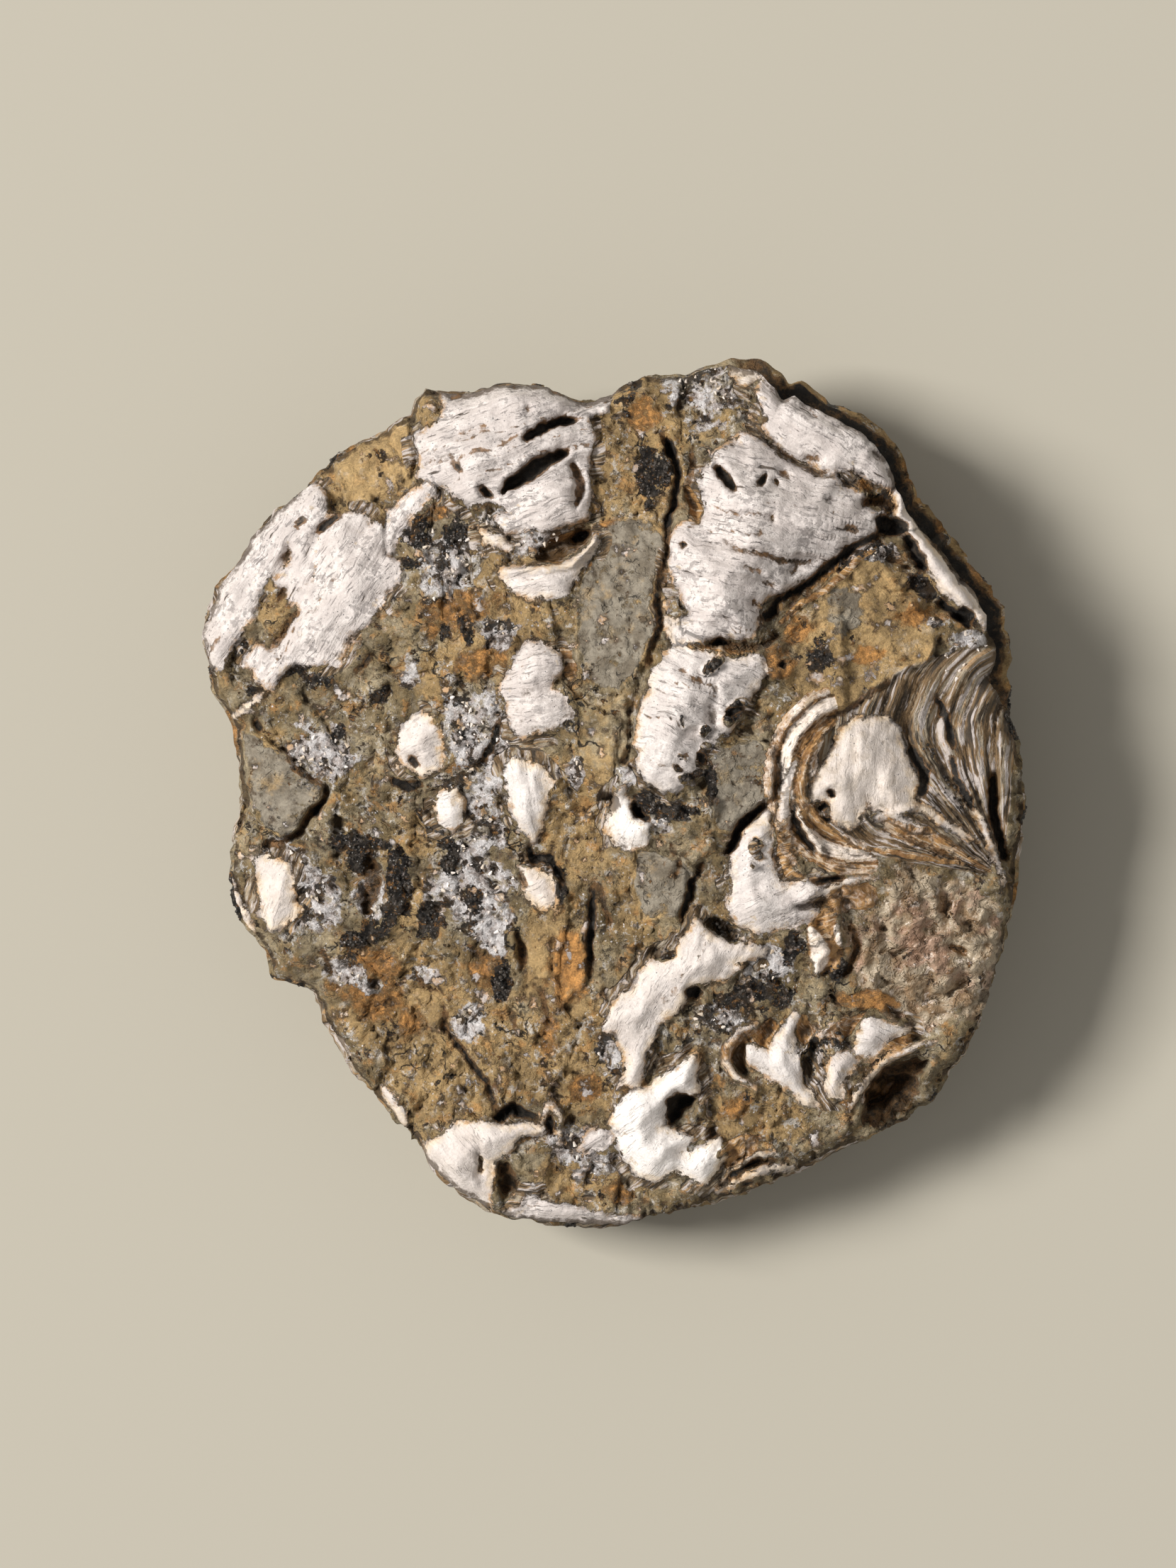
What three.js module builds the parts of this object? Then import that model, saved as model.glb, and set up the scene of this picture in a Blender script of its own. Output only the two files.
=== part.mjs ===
// Fossil oyster: two worn valves and the sandstone cemented on and between them, grown together as one lump.
// Units are millimetres and +Z is up. It lies on the worn flat of its lower valve, with the broken face up.
// The origin is the middle of its box, at the surface it lies on.
import * as THREE from "three";
import { mergeVertices } from "three/addons/utils/BufferGeometryUtils.js";

// Driving dimensions of the finished lump
const WIDTH = 70.2; // along X
const LENGTH = 74.2; // along Y, the way from the lower edge to the crest
const THICKNESS = 26.8; // along Z

// Levels of the form before it is fitted to those dimensions
const RIM_LEVEL = 14.2; // mean height of the broken face's rim
const RIM_TILT = 2.6; // the rim stands this much higher on the crest side and lower opposite
const RIM_TILT_TOWARDS = THREE.MathUtils.degToRad(62);
const DOME = 7.2; // rise of the stone from the rim to the middle
const DOME_FULLNESS = 1.1; // below 1 the dome is flatter in the middle, above 1 it is pointed
const BACK_RIM_LEVEL = 6.4; // height of the cupped valve's edge above the flat it rests on
const CUP_SHARE = 0.56; // share of the radius that the worn flat takes
const CUP_POWER = 1.7; // how fast the cupped valve turns up outside the flat
const BACK_INSET = 2.2; // how far the cupped valve's underside starts inside the outline

// Mesh: squares across the face (even), and rows down the edge. The underside has half as many.
const FACE_SQUARES = 56;
const EDGE_ROWS = 4;
const SPREAD = [-0.35, 0.35]; // each corner takes the mean height of the ground this far round it

// Outline of the whole lump seen from above, clockwise from the crest's left knob
const OUTLINE = [
  [-16, 34.6], [-13.9, 34], [-11, 34.3], [-9.6, 34.9], [-6.4, 34.8], [-3.2, 33.5], [-0.2, 33.9],
  [1.2, 35.1], [4.5, 35.6], [7.8, 36], [10.2, 37.1], [12.6, 36.9], [14.6, 35.6], [18.5, 34],
  [21.2, 32.5], [23, 31], [24.7, 29], [25.4, 26.6], [28.4, 22.5], [30.2, 20.2], [32.2, 17.9],
  [33.3, 15.6], [34.1, 13], [33.6, 10], [34.3, 7.6], [34.5, 4.4], [35.1, 0.5], [35, -3], [34.2, -7],
  [33.2, -12], [31.2, -18.5], [28.4, -24], [24.5, -28.2], [22, -29.7], [18.5, -30.8], [16.2, -32.4],
  [12.6, -33.9], [8.2, -35.1], [5, -36], [1, -37.1], [-4, -37], [-9, -36.5], [-12.6, -35.1],
  [-15.4, -32.6], [-16.9, -30.1], [-19.9, -27.3], [-22, -24.4], [-24.6, -21.2], [-26.6, -18.5],
  [-29, -15.9], [-31, -12.6], [-32.5, -9.8], [-32.8, -7], [-32.2, -3], [-32, 1], [-32.5, 5.5],
  [-34, 8.8], [-34.9, 11.8], [-35.1, 14.6], [-33.4, 18.2], [-32, 20.6], [-30.2, 23], [-26.9, 25.7],
  [-24.5, 28], [-21.5, 30.3], [-18.4, 31.9], [-17.2, 32.8],
];

// Lobes of chalky shell that stand out of the stone: the height of the broken edge, the further rise to the
// crown, and the outline of each.
const LOBES = {
  crestLeft: {
    edge: 1.5,
    crown: 1.3,
    outline: [
      [-16, 34.4], [-11, 34.2], [-6.4, 34.6], [-3.2, 33.3], [0.4, 33.7], [-1.9, 31.8], [-2, 28],
      [-1.9, 24.6], [-3.4, 22.5], [-6, 22.6], [-9.1, 22.2], [-9.2, 23.8], [-12.4, 24.4], [-13.6, 26],
      [-16.2, 27], [-16.4, 29.6], [-14.6, 31.8],
    ],
  },
  leftOuter: {
    edge: 1.1,
    crown: 0.5,
    outline: [
      [-24.3, 26.3], [-28.5, 24.1], [-31.2, 21], [-32.6, 16.6], [-33.8, 11.8], [-33.2, 10.6],
      [-31.9, 13.2], [-30.4, 15.2], [-29.8, 17.7], [-28.2, 18.3], [-27.3, 21.2], [-26.2, 23.1],
      [-24.2, 24],
    ],
  },
  leftInner: {
    edge: 1.6,
    crown: 0.6,
    outline: [
      [-27, 20.8], [-25.4, 23.2], [-21.2, 23.5], [-19, 21.8], [-18.4, 18.6], [-20.3, 15.8],
      [-22.8, 12.5], [-23.9, 11.2], [-27, 10.8], [-29, 8.4], [-30.4, 6.9], [-30, 10.8], [-28.8, 12.2],
      [-26.7, 15.4], [-26.4, 17.6], [-27.9, 18.6],
    ],
  },
  leftBand: {
    edge: 0.8,
    crown: 0.2,
    outline: [[-15.5, 26.4], [-18, 25.2], [-19.2, 22.6], [-17.6, 24], [-15.8, 25.2]],
  },
  crestRight: {
    edge: 1.6,
    crown: 0.9,
    outline: [
      [12.2, 34.6], [13.6, 36], [15.4, 34], [18.6, 32.3], [22, 30.8], [23.2, 28.6], [24.5, 25.6],
      [23.6, 25.4], [21.6, 26.6], [19.6, 27.5], [16, 28.2], [13.6, 30.2], [12.1, 33],
    ],
  },
  right: {
    edge: 1.8,
    crown: 2,
    outline: [
      [8.6, 29.2], [11.6, 30.1], [13.6, 28.1], [17.5, 26.5], [21.8, 25], [22.2, 23.2], [20.4, 20.8],
      [17.2, 18.9], [13.2, 17.2], [11.6, 14.6], [8.8, 12.9], [5, 12.2], [4.4, 14.8], [6.2, 15.4],
      [4.8, 18.6], [5, 21.8], [7.4, 24.4], [8, 27.4],
    ],
  },
  middle: {
    edge: 1.6,
    crown: 1.4,
    outline: [
      [4.3, 11.4], [3.2, 9], [2.3, 6.2], [1.6, 4.4], [2.4, 1.6], [4.4, 0.6], [7, 1.6], [7.7, 4.6],
      [10.3, 6.6], [12.7, 9.8], [12.1, 11.5], [8.6, 11.5], [6.6, 12.2],
    ],
  },
  middleFoot: {
    edge: 1,
    crown: 0.5,
    outline: [[-0.2, 0.9], [1.3, -0.8], [2.9, -3], [1.9, -4.4], [-0.2, -3.4], [-0.5, -1]],
  },
  column: {
    edge: 1.2,
    crown: 0.9,
    outline: [
      [-7.7, 12.4], [-6.2, 12.7], [-4.5, 10.6], [-5, 7.9], [-3.6, 7.6], [-6.4, 5.1], [-8.5, 5.1],
      [-9.3, 9.2], [-8.2, 11.2],
    ],
  },
  teardrop: {
    edge: 1.1,
    crown: 0.6,
    outline: [[-8, 2.7], [-5.1, 1.2], [-6, -1.6], [-6.9, -3.9], [-8.1, -1.4], [-8.9, 1.4]],
  },
  bead: {
    edge: 0.7,
    crown: 0.3,
    outline: [[-7.8, -6.1], [-5.6, -6.8], [-5.3, -9], [-7, -8.6]],
  },
  pebble: {
    edge: 0.8,
    crown: 0.6,
    outline: [[-17.9, 5.2], [-15.6, 6.5], [-14.5, 3], [-16, 1.9], [-18.1, 3.2]],
  },
  oval: {
    edge: 0.8,
    crown: 0.4,
    outline: [[-14.2, -0.1], [-12.9, -0.4], [-12.7, -2.6], [-13.7, -3.1], [-14.9, -1.6]],
  },
  leftRim: {
    edge: 0.9,
    crown: 0.5,
    outline: [[-30, -5.4], [-27, -6], [-27.2, -9.6], [-28.6, -11.5], [-30, -9.6]],
  },
  hingePatch: {
    edge: 1.5,
    crown: 1,
    outline: [
      [20, 6.1], [22.6, 5.9], [24.3, 3.6], [25.6, 0.8], [23, -1.8], [20, -3], [17.4, -1.8],
      [17.4, 1], [18.7, 3.8],
    ],
  },
  hook: {
    edge: 1.5,
    crown: 0.7,
    outline: [
      [12.6, -1.8], [13, -5.4], [14.2, -7.9], [16.3, -8.6], [13.4, -10.8], [10.4, -10.9], [9.9, -5.6],
      [11.4, -3],
    ],
  },
  diagonal: {
    edge: 1.1,
    crown: 0.6,
    outline: [
      [7.1, -10.7], [9, -12.4], [12.5, -13.4], [9.6, -15], [6.4, -16.4], [3.8, -19.4], [2.4, -23],
      [1.3, -25.2], [0.6, -21.8], [0.6, -18.4], [2.6, -14.2], [5.6, -13.3],
    ],
  },
  lower: {
    edge: 1.7,
    crown: 1.2,
    outline: [
      [7.1, -22.1], [4.2, -24], [0.8, -25.8], [0.1, -28.6], [1.2, -31.4], [3, -32.4], [6.8, -32.8],
      [9.5, -30.6], [5.8, -30.6], [6.8, -28.9], [4, -28.4], [4.6, -26.4], [7.2, -25],
    ],
  },
  saddle: {
    edge: 1.3,
    crown: 0.5,
    outline: [
      [11, -21.9], [13.8, -21.3], [15.7, -18.7], [15.1, -21.6], [16, -24.6], [16.3, -26.3],
      [14, -24], [11.6, -22.8],
    ],
  },
  knuckle: {
    edge: 1,
    crown: 0.4,
    outline: [[18.2, -22.2], [20.2, -22], [19.2, -25.6], [18, -24.8]],
  },
  lowerRight: {
    edge: 1,
    crown: 0.4,
    outline: [[21.5, -19], [24.2, -20.1], [22.4, -21.6], [20.4, -22], [20.8, -20.4]],
  },
  lowerLeft: {
    edge: 1.2,
    crown: 0.7,
    outline: [
      [-15.7, -30.2], [-13.2, -28.2], [-8.6, -27.4], [-6.6, -28.5], [-9, -30.4], [-10.6, -32],
      [-11, -35], [-14.2, -33.4],
    ],
  },
  bottom: {
    edge: 0.9,
    crown: 0.3,
    outline: [[-9.6, -35.6], [-6.6, -34.3], [-3.4, -35.4], [2.4, -36], [-2, -37.6], [-8, -37.2]],
  },
};

// Sandstone plates: flat or gently domed slabs of stone, lower than the lobes
const PLATES = [
  {
    edge: 0.7,
    crown: 0.3,
    outline: [
      [-1.2, 22], [2.6, 23], [4, 19], [3.4, 12.4], [1.4, 8.8], [-1.9, 9], [-3.4, 13], [-3.4, 17],
    ],
  },
  {
    edge: 0.8,
    crown: 0.3,
    outline: [
      [8.2, 4.4], [10.8, 4.5], [13.4, 3.6], [13.6, 0], [10.4, -3.2], [8.6, -3.4], [7.4, 0.5],
    ],
  },
  {
    edge: 1.1,
    crown: 0.2,
    outline: [
      [-31.6, 5.4], [-29.6, 5], [-26.6, 2.2], [-24.5, 0.8], [-25.6, -1.8], [-28.2, -4.6],
      [-29, -2.4], [-31, -0.4],
    ],
  },
  {
    edge: 0.9,
    crown: 0.4,
    outline: [
      [18.8, 19.2], [21.8, 20], [24.4, 17], [27.6, 13.6], [25.4, 11], [22.4, 9.4], [19.4, 7],
      [14.4, 8.2], [15.6, 13.4], [17.4, 16.6],
    ],
  },
  {
    edge: 0.8,
    crown: 0.3,
    outline: [[-23.6, 27.4], [-20, 30.4], [-17.4, 31], [-17, 27], [-19.4, 25], [-22.4, 24.4]],
  },
  {
    edge: 0.6,
    crown: 0.5,
    outline: [[2, -4.6], [5.4, -5.4], [7.2, -6.6], [5.6, -10.6], [2.2, -10.8], [1.4, -7.6]],
  },
];

// Raised folds and broken shell edges: height, half of the width, and the way each runs
const RIDGES = [
  { height: 2, half: 0.9, way: [[24.4, 24.8], [26.4, 21.4], [28.9, 17.5], [31, 15.3], [33.2, 13.5]] },
  { height: 1.5, half: 0.5, way: [[13.5, -18.6], [10.4, -20.2], [9.3, -22.2], [10.2, -24.3], [12, -25.1]] },
  { height: 1.3, half: 0.5, way: [[27.5, -20.9], [24.5, -21.9], [22.2, -23.7], [20.7, -25.8]] },
  { height: 1.2, half: 0.4, way: [[-6.1, -28.3], [-5.8, -26.5], [-4.8, -26.8], [-4.4, -29.2]] },
  { height: 1, half: 0.4, way: [[18, -20], [16.6, -20.8], [15.9, -22.4]] },
  { height: 1, half: 0.5, way: [[14.6, -8.2], [17.4, -8.2], [20.4, -7.4], [23, -7.1]] },
  { height: 0.9, half: 0.4, way: [[8.8, -33.6], [11, -31.7], [13.9, -30.5]] },
  { height: 0.9, half: 0.4, way: [[9.8, -34], [12.4, -32.2], [15.4, -31.6]] },
  { height: 0.9, half: 0.4, way: [[-9.8, 18.2], [-7.4, 17.4], [-4.2, 18.6], [-1.6, 21.4]] },
  { height: 0.8, half: 0.4, way: [[-24.8, -19.4], [-22.6, -22]] },
  { height: 0.8, half: 0.6, way: [[-19.2, -25.2], [-17.6, -27.8]] },
];

// Slots, pits, hollows and cracks: depth, half of the width, and the way each runs
const HOLLOWS = [
  { depth: 1.8, half: 0.35, way: [[-7.2, 30], [-3.6, 31.6]] }, // upper slot of the crest's left lobe
  { depth: 2.4, half: 0.6, way: [[-9, 25.7], [-6.8, 27.4], [-4.4, 28.5]] }, // its lower slot
  { depth: 1.2, half: 0.35, way: [[-11.2, 25.7], [-10.4, 25]] },
  { depth: 1, half: 0.4, way: [[-3.3, 27.2], [-3, 24.7]] },
  { depth: 1.7, half: 0.8, way: [[-5.8, 19.9], [-2.6, 21.4]] }, // hollow under that lobe
  { depth: 1.8, half: 0.4, way: [[8.7, 27.1], [9.9, 25.4]] },
  { depth: 1.4, half: 0.5, way: [[6.5, 25.4], [7.1, 23]] },
  { depth: 1.4, half: 0.4, way: [[12.5, 26.1], [13, 26.6]] },
  { depth: 1.1, half: 0.3, way: [[9.4, 20.8], [11.4, 20], [16.4, 19.2]] },
  { depth: 1.6, half: 0.5, way: [[8.4, 12.3], [11.4, 12.1]] },
  { depth: 1.6, half: 0.7, way: [[12.4, 12.9], [13.8, 13.9]] },
  { depth: 2, half: 0.5, way: [[14.4, 14.6], [17, 17.4], [18.8, 19.6], [21.6, 21.4]] }, // gap under the right lobe
  { depth: 2.6, half: 0.6, way: [[25.4, 20.6], [26.6, 18.4]] }, // pit beside the edge ridge
  { depth: 1.8, half: 0.6, way: [[23, 23], [24.4, 22.6]] },
  { depth: 1.4, half: 0.5, way: [[29.6, 15.3], [31, 13.8]] },
  { depth: 1.8, half: 0.3, way: [[4, 30.1], [5.3, 27.6], [4.9, 23.6], [4.2, 18]] }, // long crack
  { depth: 1.3, half: 0.3, way: [[3.6, 13.6], [2.7, 10.4], [1.2, 6.6], [0.4, 2.6]] },
  { depth: 2, half: 0.45, way: [[12.2, -1.3], [10.8, -2.7], [10.1, -4.4]] },
  { depth: 1.6, half: 0.3, way: [[7.6, -6.2], [6.3, -8.4], [5.5, -10.7]] },
  { depth: 1.7, half: 0.8, way: [[7.9, -10.8], [10.4, -12.2]] },
  { depth: 1.4, half: 0.4, way: [[16.8, -7.6], [19.4, -7]] },
  { depth: 1.5, half: 0.35, way: [[-1.8, -7.3], [-1.9, -15.4]] },
  { depth: 1.2, half: 0.3, way: [[-14.2, -17.6], [-13.6, -21.1], [-11.8, -23.2], [-10, -25.8]] },
  { depth: 1.9, half: 0.5, way: [[-9.6, -27], [-6.6, -27.1]] }, // hollow over the lower left lobe
  { depth: 1.4, half: 0.8, way: [[-9.6, -31.8], [-8.6, -33]] },
  { depth: 1.8, half: 0.45, way: [[-24.2, 0.4], [-25.6, -2.1], [-27.6, -4.3]] }, // ledge under a plate
  { depth: 1.1, half: 0.35, way: [[-16.2, -1.9], [-14.2, -4], [-13.7, -6.6]] },
  { depth: 2.4, half: 0.8, way: [[4.9, -27.4], [5.4, -26]] }, // hollow inside the lower lobe
  { depth: 3.4, half: 1.4, way: [[22.2, -25.4], [24, -23.6], [26, -23]] }, // open cavity near the edge
  { depth: 1.4, half: 0.5, way: [[10.7, -21.2], [10.7, -23.4]] },
  { depth: 1.2, half: 0.5, way: [[16.8, -21.6], [16.5, -24.6]] },
  { depth: 1.3, half: 0.4, way: [[10, -32.9], [12.6, -31.4]] },
  { depth: 1.5, half: 0.9, way: [[-28.8, 14], [-27.6, 16.6]] }, // stone between the two left lobes
];

// The hinge's fan: thin shell plates that spread from the worn hinge and curl round the hinge patch
const HINGE = [33, -7.2];
const FAN = { from: 84, to: 172, reach: 21, plates: 5, rise: 1.3, bendFrom: 11, bend: 0.3 };
const CURL = { centre: [20.8, 1.4], inner: 4.4, outer: 9.4, plates: 2, rise: 1.3, from: 100, to: 290 };

// Growth ledges of the cupped underside, round the hinge
const GROWTH = { spacing: 8.5, rise: 1.4, first: 9 };

const OUTLINE_SAMPLES = 6; // straight pieces between two outline points
const EDGE_SOFTNESS = 0.55; // a broken edge takes this much width to reach its height
const CROWN_REACH = 3.2; // distance from the edge at which a lobe is nearly at its crown

const { clamp, lerp, smoothstep, degToRad, euclideanModulo } = THREE.MathUtils;

// A smooth closed curve through the points, as straight pieces
function closedCurve(points) {
  const curve = new THREE.CatmullRomCurve3(
    points.map(([x, y]) => new THREE.Vector3(x, y, 0)),
    true,
    "centripetal",
  );
  return curve.getPoints(points.length * OUTLINE_SAMPLES).map((p) => [p.x, p.y]);
}

function distanceToPiece(x, y, [ax, ay], [bx, by]) {
  const along = clamp(
    ((x - ax) * (bx - ax) + (y - ay) * (by - ay)) / ((bx - ax) ** 2 + (by - ay) ** 2 || 1),
    0,
    1,
  );
  return Math.hypot(x - lerp(ax, bx, along), y - lerp(ay, by, along));
}

function distanceToWay(x, y, way) {
  let nearest = Infinity;
  for (let i = 1; i < way.length; i++) {
    nearest = Math.min(nearest, distanceToPiece(x, y, way[i - 1], way[i]));
  }
  return nearest;
}

// Distance to a closed curve, positive inside it
function distanceInside(x, y, curve) {
  let inside = false;
  for (let i = 1; i < curve.length; i++) {
    const [ax, ay] = curve[i - 1];
    const [bx, by] = curve[i];
    if (ay > y !== by > y && x < ax + ((y - ay) * (bx - ax)) / (by - ay)) inside = !inside;
  }
  return (inside ? 1 : -1) * distanceToWay(x, y, curve);
}

// Where a ray from the middle at this angle leaves the closed curve
function radiusAt(angle, curve) {
  const dx = Math.cos(angle);
  const dy = Math.sin(angle);
  let reach = 0;
  for (let i = 1; i < curve.length; i++) {
    const [ax, ay] = curve[i - 1];
    const [bx, by] = curve[i];
    const side = dx * (by - ay) - dy * (bx - ax);
    if (Math.abs(side) < 1e-9) continue;
    const distance = (ax * (by - ay) - ay * (bx - ax)) / side;
    const share = (dy * ax - dx * ay) / side;
    if (distance > 0 && share >= 0 && share <= 1) reach = Math.max(reach, distance);
  }
  return reach;
}

// Repeatable lumps: a number from -1 to 1 that changes smoothly over about one unit
function lumps(x, y) {
  const cellX = Math.floor(x);
  const cellY = Math.floor(y);
  const corner = (i, j) => {
    const mixed = Math.sin((cellX + i) * 127.1 + (cellY + j) * 311.7) * 43758.5453;
    return 2 * (mixed - Math.floor(mixed)) - 1;
  };
  const u = smoothstep(x - cellX, 0, 1);
  const v = smoothstep(y - cellY, 0, 1);
  return lerp(lerp(corner(0, 0), corner(1, 0), u), lerp(corner(0, 1), corner(1, 1), u), v);
}

const outline = closedCurve(OUTLINE);
const raised = [...Object.values(LOBES), ...PLATES].map((patch) => ({
  ...patch,
  curve: closedCurve(patch.outline),
}));

// The cupped valve stands out past the broken face's rim, most of all on the crest's right
function rimInset(angle) {
  const fromCrestRight = Math.cos(angle - degToRad(42));
  return 0.7 + 1.6 * smoothstep(fromCrestRight, 0.45, 0.95);
}

function rimLevel(angle) {
  return RIM_LEVEL + RIM_TILT * Math.cos(angle - RIM_TILT_TOWARDS);
}

// Sawtooth from 0 to 1: each shell plate rises slowly and breaks off at its edge
function plateStep(position) {
  const within = euclideanModulo(position, 1);
  return within * smoothstep(1 - within, 0, 0.25);
}

function fanHeight(x, y) {
  const angle = THREE.MathUtils.radToDeg(Math.atan2(y - HINGE[1], x - HINGE[0]));
  const reach = Math.hypot(x - HINGE[0], y - HINGE[1]);
  const bent = angle + FAN.bend * Math.max(0, reach - FAN.bendFrom) ** 2;
  const share = (bent - FAN.from) / (FAN.to - FAN.from);
  if (share < 0 || share > 1) return 0;
  const fade = smoothstep(reach, 1, 5) * (1 - smoothstep(reach, FAN.reach - 4, FAN.reach));
  return FAN.rise * fade * plateStep(share * FAN.plates);
}

function curlHeight(x, y) {
  const dx = x - CURL.centre[0];
  const dy = y - CURL.centre[1];
  const angle = euclideanModulo(THREE.MathUtils.radToDeg(Math.atan2(dy, dx)), 360);
  const reach = Math.hypot(dx, dy);
  if (reach < CURL.inner || reach > CURL.outer) return 0;
  const fade = smoothstep(angle, CURL.from, CURL.from + 20) * (1 - smoothstep(angle, CURL.to - 20, CURL.to));
  return CURL.rise * fade * plateStep(((CURL.outer - reach) / (CURL.outer - CURL.inner)) * CURL.plates);
}

// A rounded bank or channel across a way, 1 in its middle and 0 outside its width
function acrossWay(x, y, way, half) {
  return 1 - smoothstep(distanceToWay(x, y, way), half / 3, half + 1);
}

// Height of the broken face. The share is 0 in the middle and 1 at the rim.
function faceHeight(x, y, angle, share) {
  let z = rimLevel(angle) + DOME * (1 - share ** 2) ** DOME_FULLNESS;
  z += 0.7 * lumps(x / 9, y / 9) + 0.35 * lumps(x / 3.4 + 7, y / 3.4);
  let patch = 0;
  for (const { edge, crown, curve } of raised) {
    const inside = distanceInside(x, y, curve);
    if (inside < -EDGE_SOFTNESS) continue;
    const step = edge * smoothstep(inside, -EDGE_SOFTNESS, EDGE_SOFTNESS);
    patch = Math.max(patch, step + crown * smoothstep(inside, 0, CROWN_REACH));
  }
  for (const { height, half, way } of RIDGES) {
    patch = Math.max(patch, height * acrossWay(x, y, way, half));
  }
  z += patch + fanHeight(x, y) + curlHeight(x, y);
  for (const { depth, half, way } of HOLLOWS) {
    z -= depth * acrossWay(x, y, way, half);
  }
  return z;
}

// Mean height of the ground round a corner, so that a narrow slot doesn't slip between the squares
function spreadHeight(x, y, angle, share) {
  const heights = SPREAD.flatMap((dx) => SPREAD.map((dy) => faceHeight(x + dx, y + dy, angle, share)));
  return heights.reduce((sum, height) => sum + height) / heights.length;
}

// Height of the cupped underside: a worn flat in the middle, and growth ledges where it turns up
function backHeight(x, y, share) {
  const outside = Math.max(0, (share - CUP_SHARE) / (1 - CUP_SHARE));
  const reach = Math.hypot(x - HINGE[0], y - HINGE[1]) + 1.2 * lumps(x / 6, y / 6);
  const ledge = GROWTH.rise * plateStep((reach - GROWTH.first) / GROWTH.spacing);
  return Math.max(0, BACK_RIM_LEVEL * outside ** CUP_POWER - ledge * smoothstep(outside, 0, 0.3));
}

// The edge between the two faces: a seam where the valves meet, then the cupped valve's blunt edge.
// The depth is 0 at the broken face's rim and 1 where the underside starts.
function edgeRadius(angle, depth) {
  const full = radiusAt(angle, outline);
  const front = full - rimInset(angle);
  const seam = 0.7 * (1 - smoothstep(Math.abs(depth - 0.25), 0, 0.2));
  const turn = BACK_INSET * smoothstep(depth, 0.55, 1) ** 1.5;
  return lerp(front, full, smoothstep(depth, 0, 0.5)) - seam - turn;
}

// Square to disc: rings of the square grid become rings of the disc
function angleOnSquare(a, b) {
  if (a === 0 && b === 0) return 0;
  if (Math.abs(a) > Math.abs(b)) return (Math.PI / 4) * (b / a) + (a < 0 ? Math.PI : 0);
  return Math.PI / 2 - (Math.PI / 4) * (a / b) + (b < 0 ? Math.PI : 0);
}

// A box with squared sides whose underside has every second grid line only
function squareBlock() {
  const block = new THREE.BoxGeometry(2, 2, 2, FACE_SQUARES, FACE_SQUARES, EDGE_ROWS);
  const place = block.attributes.position;
  const coarse = 4 / FACE_SQUARES;
  for (let i = 0; i < place.count; i++) {
    if (place.getZ(i) > -1) continue;
    place.setX(i, Math.floor((place.getX(i) + 1) / coarse + 1e-6) * coarse - 1);
    place.setY(i, Math.floor((place.getY(i) + 1) / coarse + 1e-6) * coarse - 1);
  }
  block.deleteAttribute("normal");
  block.deleteAttribute("uv");
  return mergeVertices(block, 1e-5);
}

// Splits each square along its shorter diagonal, so that ledges run clean across the grid, and leaves out the
// triangles whose corners fell together
function splitSquares(geometry) {
  const corners = geometry.index.array;
  const place = geometry.attributes.position;
  const at = (i) => new THREE.Vector3().fromBufferAttribute(place, i);
  const triangles = [];
  for (let i = 0; i < corners.length; i += 6) {
    const [a, b, d, , c] = corners.slice(i, i + 6);
    const acrossFirst = at(a).distanceTo(at(c)) < at(b).distanceTo(at(d));
    if (acrossFirst) triangles.push([a, b, c], [a, c, d]);
    else triangles.push([a, b, d], [b, c, d]);
  }
  return geometry.setIndex(triangles.filter((corner) => new Set(corner).size === 3).flat());
}

// Every vertex of the block moves to its place on the broken face, the edge or the underside
function oysterGeometry() {
  const geometry = squareBlock();
  const place = geometry.attributes.position;
  for (let i = 0; i < place.count; i++) {
    const a = place.getX(i);
    const b = place.getY(i);
    const depth = (1 - place.getZ(i)) / 2;
    const angle = angleOnSquare(a, b);
    const share = Math.max(Math.abs(a), Math.abs(b));
    const radius = share * edgeRadius(angle, depth);
    const x = radius * Math.cos(angle);
    const y = radius * Math.sin(angle);
    if (depth === 0) place.setXYZ(i, x, y, spreadHeight(x, y, angle, share));
    else if (depth === 1) place.setXYZ(i, x, y, backHeight(x, y, share));
    else {
      const top = spreadHeight(x, y, angle, 1);
      place.setXYZ(i, x, y, lerp(top, BACK_RIM_LEVEL, depth) + 0.4 * lumps(x / 4, y / 4));
    }
  }
  return fitToSize(splitSquares(geometry));
}

function fitToSize(geometry) {
  geometry.computeBoundingBox();
  const size = geometry.boundingBox.getSize(new THREE.Vector3());
  const middle = geometry.boundingBox.getCenter(new THREE.Vector3());
  geometry.translate(-middle.x, -middle.y, -geometry.boundingBox.min.z);
  geometry.scale(WIDTH / size.x, LENGTH / size.y, THICKNESS / size.z);
  geometry.computeVertexNormals();
  return geometry;
}

const shellAndStone = new THREE.MeshStandardMaterial({
  name: "chalky shell and sandstone",
  color: 0xa3988a,
  roughness: 0.85,
  metalness: 0,
});

const oyster = new THREE.Mesh(oysterGeometry(), shellAndStone);
oyster.name = "fossil_oyster";

const fossil = new THREE.Group();
fossil.add(oyster);

export default fossil;
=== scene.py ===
"""Fossil oyster: chalky shell lobes and thin horny plates, cemented in rusty sandstone.

The body is one closed mesh, worked out in millimetres as a height for the broken face, a wall and a cupped
underside. The same pass gives each place its finishes, such as shell, rust or crust, as mesh attributes.
Geometry Nodes then grow quartz crystals and crust warts on it.
"""

import itertools
import math

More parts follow.
